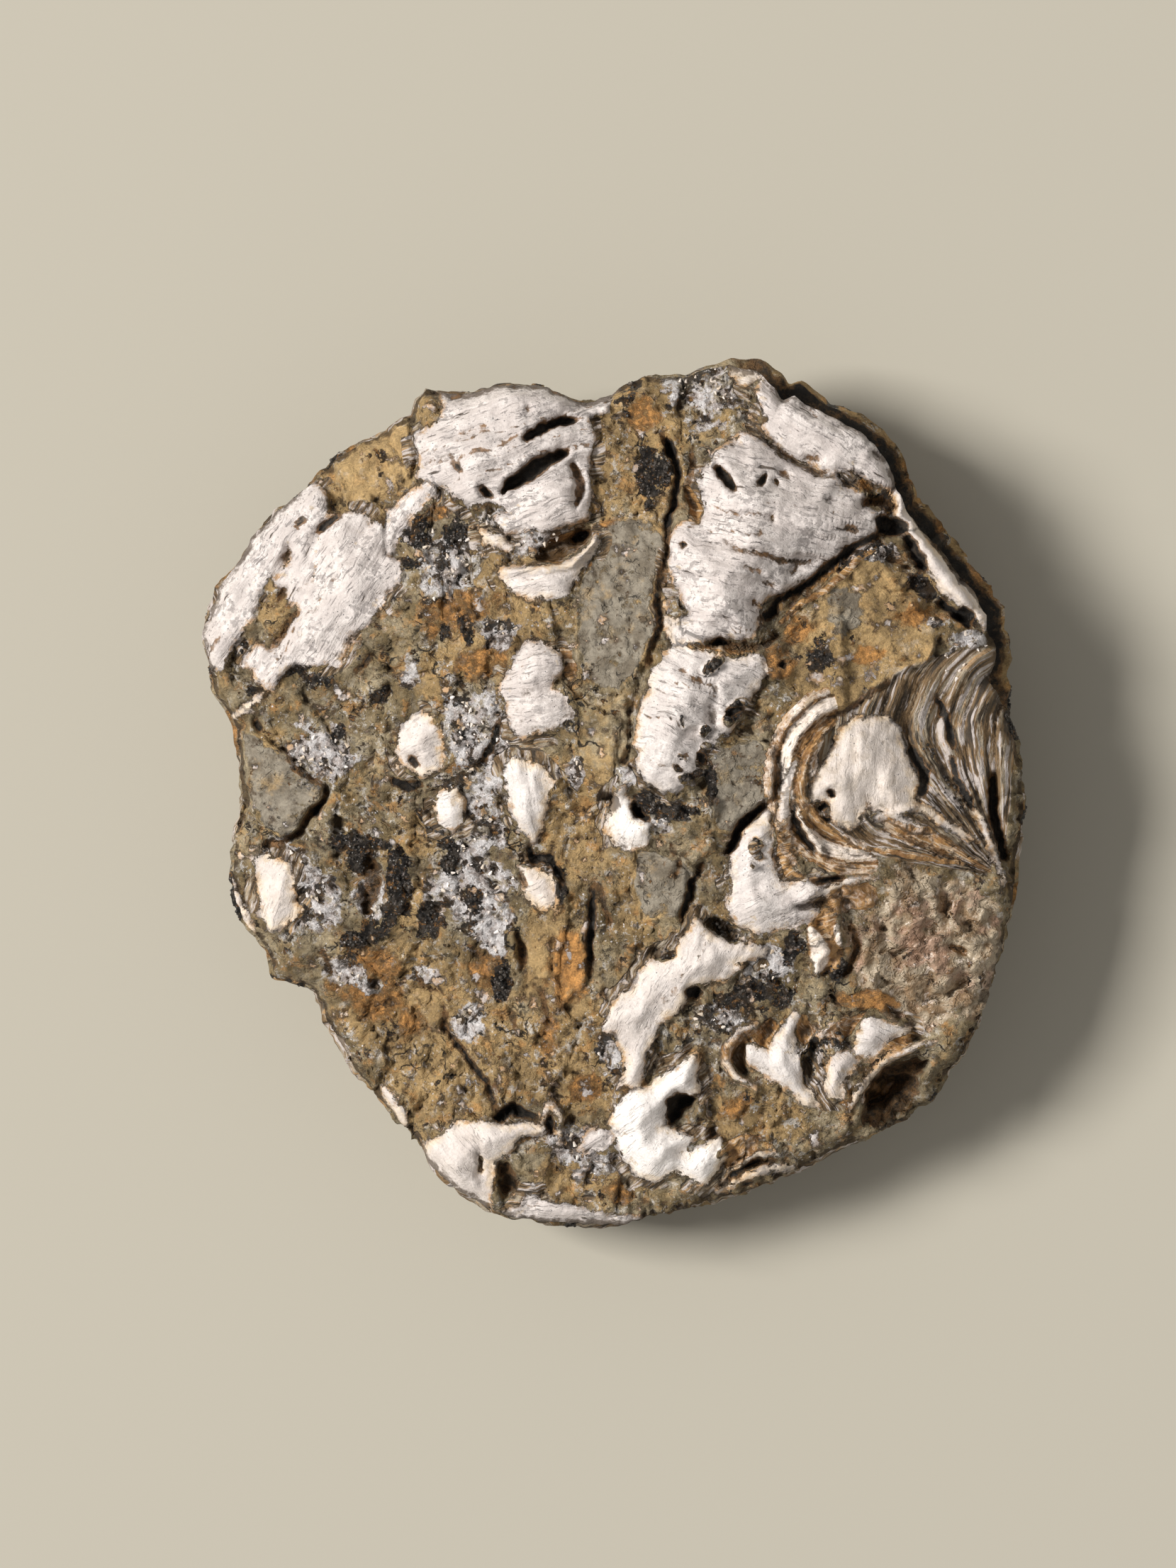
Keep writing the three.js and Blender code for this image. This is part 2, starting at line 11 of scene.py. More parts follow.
import bpy
import numpy as np
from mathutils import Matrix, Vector


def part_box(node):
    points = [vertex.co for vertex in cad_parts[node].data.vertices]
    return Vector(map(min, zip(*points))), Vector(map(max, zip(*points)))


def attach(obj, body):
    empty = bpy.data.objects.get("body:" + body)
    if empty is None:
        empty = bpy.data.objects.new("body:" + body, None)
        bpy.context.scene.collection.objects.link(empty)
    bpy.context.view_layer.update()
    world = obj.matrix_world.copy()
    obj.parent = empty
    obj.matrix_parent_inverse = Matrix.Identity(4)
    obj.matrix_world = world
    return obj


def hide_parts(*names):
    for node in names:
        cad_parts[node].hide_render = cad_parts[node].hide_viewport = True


bl_info = {
    "name": "Fossil oyster",
    "version": (1, 0, 0),
    "blender": (4, 5, 0),
    "location": "View3D > Sidebar > Fossil oyster",
    "description": "Builds a fossil oyster with its shell, stone, quartz crystals and crust warts",
    "category": "Object",
}

NODE = "fossil_oyster"
MM = 0.001

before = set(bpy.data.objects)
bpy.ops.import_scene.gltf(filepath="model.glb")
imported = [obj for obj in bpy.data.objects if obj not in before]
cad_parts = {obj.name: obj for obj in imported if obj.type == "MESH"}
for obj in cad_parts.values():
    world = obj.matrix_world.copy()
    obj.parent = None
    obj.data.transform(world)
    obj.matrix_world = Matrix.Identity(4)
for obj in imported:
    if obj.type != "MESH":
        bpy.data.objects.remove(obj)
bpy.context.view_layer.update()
CAD_LOW, CAD_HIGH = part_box(NODE)

# ---- The fossil's own forms, in millimetres. X runs towards the worn hinge, Y towards the crest, Z up.

# Outline of the whole lump seen from above, clockwise from the crest's left knob
OUTLINE = [
    (-16, 34.7), (-14, 34.1), (-12, 34.2), (-10, 34.9), (-6.2, 34.85), (-5, 34.3), (-3.1, 33.4), (-2, 33.5),
    (-0.3, 33.9), (0.9, 35), (2.7, 35.6), (6, 35.6), (8, 36.4), (10, 37), (12.5, 36.9), (14.1, 35.9),
    (15, 34.9), (16, 35.2), (18, 34.1), (19.8, 33.2), (22, 32), (23.1, 31.1), (24.1, 29.8), (24.8, 28.3),
    (25.4, 26.5), (26.3, 25), (27.6, 23.4), (29, 22), (30.6, 19.7), (32, 18.1), (32.6, 17), (33.2, 15.9),
    (33.3, 14.5), (34, 13.6), (34.2, 12.5), (34, 11.5), (33.5, 9.9), (34.2, 8.5), (34.1, 6.7), (34.3, 5),
    (34.7, 3.5), (34.9, 2), (35.1, -1.5), (34.9, -3), (34.6, -5.8), (34.3, -9), (33.4, -12.6), (32.5, -16),
    (31.4, -19.4), (29.6, -22.9), (27.3, -26.1), (25.2, -27.8), (23.3, -28.6), (21.5, -29.7), (19, -30.6),
    (17.5, -31.6), (15.5, -32.6), (13, -33.6), (10.5, -34.6), (8, -35.2), (5, -35.9), (1, -37),
    (-1.7, -37.1), (-5.7, -36.9), (-9.1, -36.4), (-11, -35.5), (-13, -34.4), (-14.6, -33.2), (-15.9, -31.6),
    (-16.7, -30), (-18.2, -28.6), (-20, -26.3), (-21.3, -25), (-22.9, -22.8), (-23.6, -21.4),
    (-24.8, -19.6), (-25.1, -18), (-26.2, -16.6), (-28.3, -16), (-29.1, -15.7), (-29.5, -14.2),
    (-30.7, -12.2), (-31.8, -10.9), (-32.6, -9.2), (-32.8, -7), (-32.5, -3.5), (-32, -0.5), (-32.1, 2),
    (-32.4, 5.2), (-33, 7), (-34.2, 8.6), (-34.6, 10.6), (-35.3, 13.8), (-34.9, 15.2), (-34, 17),
    (-33.4, 18.2), (-32, 20), (-31, 22), (-29, 24), (-27, 25.5), (-25, 27.4), (-23.5, 28.9), (-21, 30.2),
    (-19, 31.3), (-17.3, 32.3), (-16.9, 33.5),
]

# Shell lobes: height of the broken edge, further rise to the crown, the way their fine layers run in
# degrees, how creamy the shell is (1 translucent cream, 0 chalk white, below 0 fresh and smooth), and the
# outline
LOBES = {
    "crest_left": (1.5, 1.5, 18, 0, (-16, 36), (-10, 36.5), (-3.1, 35), (0.3, 35.2), (-0.2, 33.6),
        (-0.6, 32.2), (-2, 32), (-2.3, 31.2), (-1.9, 30.2), (-2.2, 28), (-2, 26), (-2, 24), (-2.4, 23.2),
        (-3.4, 22.5), (-6, 22.3), (-9.2, 22.1), (-9.8, 23.2), (-8.3, 23.7), (-10.3, 24.6), (-12, 24.2),
        (-13, 25), (-13.8, 26), (-15.4, 26.3), (-16.5, 26.7), (-16.2, 27.5), (-16.5, 29), (-16.5, 30.2),
        (-15.6, 30.6), (-14.6, 31.4), (-14, 32.8), (-14.6, 33.9)),
    "left_tail": (0.8, 0.3, 60, 0, (-15.2, 26.1), (-16.6, 25.6), (-17.6, 24.8), (-18.7, 23.4),
        (-19.2, 21.4), (-18.9, 20.2), (-18.2, 21.6), (-17.4, 23.4), (-16.2, 24.6), (-15, 25.3)),
    "lip_ledge": (0.9, 0.5, 15, 0.2, (-9.4, 18.3), (-9, 18.9), (-6.8, 18.9), (-3.9, 19.1), (-1.7, 21.3),
        (-1.2, 21.1), (-3.2, 18.3), (-3.9, 16.7), (-5, 16.3), (-7.1, 16.4), (-8.4, 17)),
    "crest_right": (1.7, 1, 150, 0, (13.1, 37.4), (15.6, 37), (17, 33.6), (19.4, 33), (22.2, 32),
        (23.6, 29.4), (24.4, 26.6), (25, 24.6), (24.2, 24.2), (23.4, 25.6), (22.8, 26), (21.5, 26.7),
        (20.3, 27.5), (18.3, 27.1), (17.5, 27.7), (16, 28.15), (15, 28.8), (14.3, 29.4), (12.8, 30.7),
        (13, 31.6), (12.2, 33.3), (12.3, 35.1)),
    "crest_ledge": (0.9, 0.3, 150, 0.6, (9.4, 37.6), (13, 37.4), (12.4, 35.3), (11.1, 34.5), (10.2, 35.5)),
    "right": (1.9, 2, 168, 0, (10.9, 30.1), (11.6, 30.1), (12.8, 29.2), (14.2, 28), (15, 27.3),
        (16.8, 26.6), (18.5, 26.6), (19, 25.4), (21, 25), (20.8, 24), (22.6, 23.4), (21.7, 22.2), (21, 21),
        (19.6, 20.6), (18.4, 19.9), (17.8, 19), (16.3, 18.1), (15, 17.7), (13.2, 16.9), (12, 16),
        (12, 14.6), (11.5, 13.2), (8.2, 12.9), (5.4, 12.6), (4.6, 13.6), (5.8, 14.4), (6.8, 14.6),
        (6.2, 16), (5.3, 17.4), (4.8, 19.6), (4.8, 21.4), (6, 22.4), (7.5, 22.5), (7.8, 23.9), (7.4, 26),
        (8, 27.6), (8.6, 28.6), (9.2, 28.9), (10.3, 29)),
    "left_outer": (1.2, 0.4, 55, 0, (-27, 26.4), (-25, 26), (-24.4, 25.3), (-24.4, 24.5), (-25.4, 23.4),
        (-26.5, 23), (-27, 21.5), (-27.9, 19.6), (-28.1, 18.8), (-29.5, 18), (-30, 16.9), (-30.4, 15.4),
        (-31.3, 14.2), (-32.2, 12.8), (-33, 11.2), (-33.2, 10.5), (-34.6, 10.4), (-35.4, 13), (-34.1, 15),
        (-33.6, 17), (-33, 18.6), (-32.7, 20.6), (-31.6, 22.4), (-29.6, 24.4)),
    "left_middle": (1, 0.3, 55, 0, (-27.2, 21.8), (-26.6, 23.2), (-24.4, 24.3), (-24.6, 22.2),
        (-25, 20.4), (-25.2, 18.6), (-26, 16.4), (-27.4, 16.4), (-28.4, 17.8), (-27.7, 18.8),
        (-27.1, 19.8)),
    "left_inner": (1.4, 0.6, 55, 0, (-24.9, 22), (-24.3, 22.9), (-23.4, 23.4), (-21, 23.5),
        (-20.6, 22.8), (-21.2, 22), (-19.5, 22.8), (-19, 21.4), (-19.4, 19.8), (-18, 19.3), (-18.3, 17.9),
        (-19.1, 16.9), (-20, 15.4), (-21.2, 14.2), (-22.5, 13.3), (-22.9, 12), (-24, 11.1), (-25.3, 11.3),
        (-27.7, 11), (-28.4, 9.9), (-28.7, 8.8), (-30.1, 9.4), (-30.1, 10.7), (-31.3, 10.8), (-30, 12.3),
        (-28.8, 11.9), (-27.4, 13.5), (-26.4, 15.3), (-26.2, 16.8), (-24.9, 18.3), (-24.6, 19.4),
        (-26, 19.5), (-25.2, 21.2)),
    "middle": (1.7, 1.4, 160, -0.16, (4.5, 11.5), (5, 12.1), (7, 12.5), (8.4, 11.8), (8.7, 11.3),
        (11, 11.4), (12, 11.6), (12.7, 10.3), (12, 9), (11, 7.8), (11.3, 7.2), (10.2, 6), (8.8, 5.2),
        (7.9, 4.2), (7.4, 2.8), (7.6, 2), (6.7, 0.9), (4.9, 0.4), (2.9, 0.8), (2, 2.4), (2.1, 3.3),
        (1.8, 4.2), (2.4, 6.5), (2.5, 7.5), (3.1, 8.4), (3.3, 10), (4.1, 11.2)),
    "middle_foot": (1.1, 0.6, 80, -0.5, (-0.1, -0.5), (0.7, 0.3), (1.4, -1.4), (1.4, -2.1), (2.7, -2.3),
        (3, -2.7), (2.6, -4), (1.2, -4.4), (0.3, -4), (-0.3, -2.6)),
    "column": (1.3, 1, 8, 0.1, (-7.5, 12.3), (-6, 12.5), (-4.6, 11.4), (-4.4, 10.6), (-4.8, 9.6),
        (-5.2, 8.6), (-3.8, 8), (-3.6, 6.6), (-5.6, 5.4), (-7.5, 4.9), (-8.6, 5.5), (-8.6, 7.2),
        (-9.2, 8.2), (-9.1, 9.8), (-8.4, 10.8)),
    "teardrop": (1.2, 0.8, 100, -0.3, (-8.1, 2.8), (-6.4, 2.2), (-5.1, 1), (-5.9, -0.8), (-6.3, -3),
        (-6.8, -4), (-7.8, -3), (-8.3, -1), (-9.1, 1.3), (-8.9, 2.1)),
    "bead": (0.8, 0.3, 20, 0.45, (-7.9, -6.1), (-6.2, -6.6), (-5.3, -7), (-5.1, -9), (-5.6, -9.4),
        (-7.1, -8.6), (-7.6, -7.6)),
    "pebble": (0.9, 0.6, 30, 0.25, (-16, 6.4), (-15.3, 6.3), (-14.6, 4), (-14.4, 2.3), (-16, 1.7),
        (-17.5, 2.5), (-18.1, 3.9), (-17.6, 5.4), (-16.8, 6.1)),
    "oval": (0.9, 0.5, 20, -0.3, (-14.2, 0.1), (-13.3, 0.2), (-12.7, -0.9), (-12.8, -2.3),
        (-13.6, -3.1), (-14.5, -2.7), (-14.9, -1.4), (-14.7, -0.4)),
    "left_rim": (0.9, 0.5, 70, 0.35, (-30.4, -5.7), (-29.3, -5.4), (-27.5, -6), (-27.2, -7),
        (-27.3, -9), (-26.5, -9.9), (-28.1, -11.2), (-28.9, -11.5), (-29.9, -10.3), (-30, -8.3),
        (-29.9, -7.2)),
    "hinge_patch": (1.2, 0.9, 85, 0.5, (19.2, 5.5), (20.3, 6.2), (22.9, 6.1), (24, 5.6), (24.4, 3.6),
        (25, 2.2), (25.5, 1), (24.9, 0.3), (25.2, -1), (23.6, -1.8), (21.7, -1.3), (21.3, -0.5),
        (20.4, -1.5), (20.4, -2.4), (19.8, -2.9), (18.4, -2.1), (18.2, -0.6), (16.6, -0.6), (16.5, 0.2),
        (17.2, 1.8), (18.7, 3.9)),
    "hook": (1.6, 0.8, 25, -0.2, (11.4, -2.8), (12.9, -1.8), (13.1, -3.5), (13, -6), (13.7, -7.5),
        (14.6, -7.9), (16.3, -7.6), (17.2, -7.3), (16.8, -8.1), (15.8, -9.3), (17, -10), (16, -10.8),
        (13.5, -11.1), (12.3, -11.7), (10.4, -11), (9.8, -9.5), (10, -7.8), (9.8, -6.8), (10.1, -4.9),
        (11.1, -3.6)),
    "diagonal": (1.2, 0.7, 60, 0.25, (7, -10.6), (8, -12), (9.6, -12.7), (11.6, -12.7), (12.8, -13.3),
        (11, -13.9), (9.9, -14.1), (10.8, -14.7), (8.9, -15.6), (6.8, -15.9), (5.9, -17.2), (5.2, -18.3),
        (4, -19.2), (3.4, -20.6), (2.6, -22), (2.1, -24.6), (0.8, -24.5), (1, -22.5), (0.1, -19.8),
        (-0.8, -19.8), (0.2, -17.5), (1.4, -16.5), (2.6, -14.6), (4.2, -13.9), (5.4, -13.2), (6.2, -11.8)),
    "lower": (1.7, 1.2, 40, -0.6, (7.1, -22), (7, -23.6), (7.2, -25), (5.6, -25.6), (4.6, -26.8),
        (3.9, -28.3), (5, -28.6), (6.8, -29.1), (5.8, -30.5), (7, -30.3), (8.6, -29.6), (9.3, -30.8),
        (8.2, -32.3), (7.6, -32.9), (5.3, -31.8), (3.5, -32.6), (1.8, -32.2), (0.8, -30.4), (0, -28.4),
        (0.4, -26.6), (1.2, -25.4), (3.4, -24.6), (5, -23.5)),
    "lower_chip": (0.7, 0.2, 40, 0, (-2.6, -30.1), (-2, -28.9), (-0.9, -28.3), (0, -28.8), (-0.8, -30)),
    "saddle": (1.3, 0.6, 120, -0.3, (10.9, -21.6), (11.6, -21.2), (13, -21.9), (14.1, -20.2),
        (15.4, -18.5), (15.2, -20), (15.3, -22), (16, -23.3), (15.9, -24.4), (17, -26.3), (16.3, -26.3),
        (14.9, -24.8), (12.9, -23.6), (11.2, -22.6)),
    "knuckle": (1, 0.5, 120, 0.2, (18.3, -22.6), (19.5, -21.6), (20.5, -22.6), (19.2, -24.6),
        (19.1, -25.6), (18.3, -25.6), (18.1, -24.6)),
    "lower_right": (1, 0.5, 160, -0.2, (20.3, -21.9), (20.6, -20.6), (21.7, -19), (23.3, -19.4),
        (25, -19.7), (23.4, -20.4), (22.3, -21.9), (21.2, -22.3)),
    "lower_left": (1.3, 0.8, 130, 0.3, (-12.9, -27.9), (-10.5, -27.9), (-7, -27.9), (-5.9, -28.5),
        (-7.9, -29), (-8.9, -30.2), (-10.6, -31.7), (-10.5, -32.6), (-10.8, -37), (-13.6, -36),
        (-15.8, -33.6), (-16.6, -31), (-15.7, -29.6), (-14.2, -29), (-13.6, -28.4)),
    "bottom": (0.9, 0.3, 5, 0, (-10, -35.7), (-7.4, -35.2), (-7.2, -34.2), (-6, -34.6), (-4.4, -35),
        (-2, -35.3), (0, -35.8), (3, -36.2), (2, -39), (-8, -39), (-11, -37.4)),
    "link": (0.8, 0.3, 100, 0.2, (4.2, 14.8), (5.7, 14.3), (7.4, 14.1), (7.4, 12.5), (4.9, 12.4)),
    "small_ledge": (0.6, 0.2, 10, 0.3, (-11, 21.9), (-9, 21.1), (-8.5, 20.6), (-10.8, 21.2)),
}

# Stone plates that stand out of the rest: height of the edge, finish, and outline
PLATES = [
    (0.55, "slate", (-2, 22.6), (0.6, 23), (3.4, 23.6), (4.2, 21.4), (4, 18.3), (3.5, 16), (3.7, 14),
        (2.9, 12), (1.8, 9.6), (0.4, 8.6), (-1.2, 8.6), (-2.6, 10), (-3.2, 13), (-3.1, 17), (-2.4, 20)),
    (0.8, "slate", (8.2, 4.6), (9.6, 4.2), (11.8, 4.6), (13.3, 4), (13.6, 1.5), (13.2, -0.6),
        (11.2, -2.1), (10.2, -3.4), (8.8, -3.6), (8, -2), (7.7, 0.5), (7.7, 2.5)),
    (0.9, "slate", (-31.6, 5.4), (-29.6, 5), (-26.6, 2.2), (-24.5, 0.8), (-24.9, -0.7), (-25.9, -2),
        (-26.9, -3.2), (-28.2, -4.5), (-29, -3.4), (-30.2, -2), (-31, 0)),
    (0.7, "ochre", (18.6, 19.3), (21.8, 20.4), (24.4, 17), (27.6, 13.6), (26, 11), (22.9, 9.3),
        (21, 7.8), (18.2, 6.3), (15.5, 7.4), (14.2, 9), (15.6, 13.4), (17.4, 16.6)),
    (0.6, "ochre", (-23.8, 27.6), (-20, 31), (-17.2, 31.4), (-17, 27), (-19.4, 25), (-22.4, 24.4)),
    (0.4, "rust", (-4.6, -11.8), (-2.8, -11.1), (-2.2, -13), (-2.2, -15.8), (-4, -17.5), (-5.3, -16),
        (-5, -13.6)),
    (0.4, "ochre", (-7.3, -11.5), (-5.3, -11.8), (-5.4, -15.8), (-7, -16)),
    (0.5, "slate", (2, -4.6), (5.4, -5.2), (7.2, -6.6), (6.4, -8.6), (5.6, -10.6), (2.2, -10.8),
        (1.4, -7.6)),
    (0.4, "smooth", (-3.3, 8), (0.8, 8.4), (1.2, 4), (0.2, 2), (-3, 2.4)),
]

# Raised folds and broken edges: height, half of the width, finish, and the way each runs. Stone adds no
# finish, and peach is honey that turns creamy.
RIDGES = [
    (0.5, 0.8, "crust", (-18.9, -4.2), (-18.4, -6), (-18.4, -9.5), (-19.2, -11), (-20, -12)),
    (0.4, 0.6, "crust", (-19.8, -12), (-21.5, -12.6), (-23.2, -12.2)),
    (0.4, 0.6, "crust", (-19, -4.3), (-21, -3.9), (-24, -4)),
    (0.4, 0.5, "crust", (-16.5, -1.6), (-14.3, -3.6), (-13.3, -4.8), (-13.6, -6.6)),
    (2, 0.95, "shell", (24, 25.4), (24.3, 23.7), (25.2, 22.2), (26.2, 20.4), (27.6, 18.8), (28.6, 17.2),
        (30.4, 15.8), (31.8, 14.4), (33.2, 13.6)),
    (1.5, 0.45, "shell", (12, -19.5), (10.6, -20.1), (9.7, -21.4), (9.6, -22.6), (10.3, -23.9),
        (12, -24.9)),
    (1.3, 0.4, "shell", (27.3, -20.9), (25, -21.6), (23, -22.6), (21.7, -24.2), (20.7, -25), (19.9, -26.8)),
    (1.2, 0.35, "shell", (-6, -28.5), (-5.9, -27), (-5.4, -26.3), (-4.9, -26.6), (-4.4, -27.5),
        (-4.5, -29.7)),
    (1.1, 0.35, "shell", (15.9, -22.3), (16.4, -21.2), (18, -19.9), (20, -18.8)),
    (0.9, 0.4, "shell", (15.5, -8.9), (18, -8.2), (20, -7.3), (21.6, -7.1)),
    (0.9, 0.35, "shell", (14, -30.5), (12, -30.7), (10.7, -31.6), (8.7, -33.5)),
    (0.9, 0.35, "shell", (15.9, -32.5), (14.8, -31.7), (13.2, -31.7), (10, -33.2), (8.5, -34)),
    (0.8, 0.3, "honey", (13, -29.2), (11.5, -29), (10, -29.6), (8.7, -30.9)),
    (1, 0.45, "shell", (-9, 18.6), (-6, 18.7), (-3.6, 19.3), (-1.2, 21.7)),
    (0.8, 0.4, "shell", (-24.7, -19.6), (-23.6, -20.8), (-22.4, -22.4)),
    (0.9, 0.6, "shell", (-19.4, -25), (-18.6, -26.6), (-17.8, -28.4)),
    (1.1, 0.6, "shell", (15.3, 2.9), (14.5, 0.7), (14.2, -1), (14.3, -3), (14.7, -4.6)),
    (0.8, 0.45, "shell", (21.5, -1.9), (23.5, -2.1), (25, -2.7), (26.6, -3.2)),
    (0.7, 0.4, "shell", (24, -1.5), (26, -1.3), (27.4, -2.2), (29, -3.2), (30.2, -4)),
    (0.7, 0.35, "shell", (29, -0.1), (30, -1.2), (31, -2.2), (32, -5), (33, -7.5)),
    (0.6, 0.3, "honey", (27.5, -4), (29, -4.8), (30.5, -5.8), (32, -6.8)),
    (0.5, 0.35, "honey", (13.6, 14), (15.8, 16), (17.8, 17.1), (19.9, 19.1), (22.2, 20.9)),
    (0.5, 0.3, "honey", (6.2, 12.4), (8, 12.2), (10, 11.9), (12.4, 12)),
    (0.6, 0.3, "honey", (21.2, -4.6), (24, -5), (28, -5.7), (30, -6.1)),
    (0.9, 0.65, "honey", (17.4, 4.8), (15.9, 2.2), (15.4, 0), (15.6, -2), (16.3, -3.8), (17.4, -5)),
    (0.7, 0.3, "honey", (13.1, -2.2), (13.6, -2.5), (14.4, -6.2), (16.2, -7.2)),
    (0.9, 0.6, "shell", (-32.8, -6.7), (-32.6, -8.3), (-32, -9.6), (-30.7, -11.7)),
    (0.6, 0.3, "stone", (-26.3, -5.2), (-25.8, -4.6), (-25.1, -6.4), (-24.9, -7)),
    (0.8, 0.35, "shell", (-32.5, 6.4), (-31.5, 6.9), (-30.4, 7.8), (-29.4, 8.6)),
    (0.8, 0.7, "honey", (19.6, -8.2), (21.6, -9.2)),
    (0.9, 0.8, "peach", (16.6, -11.4), (17.4, -13.4), (17, -15)),
    (0.8, 0.5, "peach", (18.8, -10.8), (19.1, -12.6)),
    (1, 1, "rust", (13.4, 9.6), (14.4, 11.2)),
    (0.9, 0.7, "ochre", (25, 15.7), (26, 16.5)),
    (0.9, 1.1, "stone", (6.9, -26.4), (7.3, -26.8)),
    (0.7, 0.9, "ochre", (4.8, -11.6), (5.2, -12.4)),
    (0.9, 1, "ochre", (-15.6, 31.2), (-15.8, 33.4)),
]

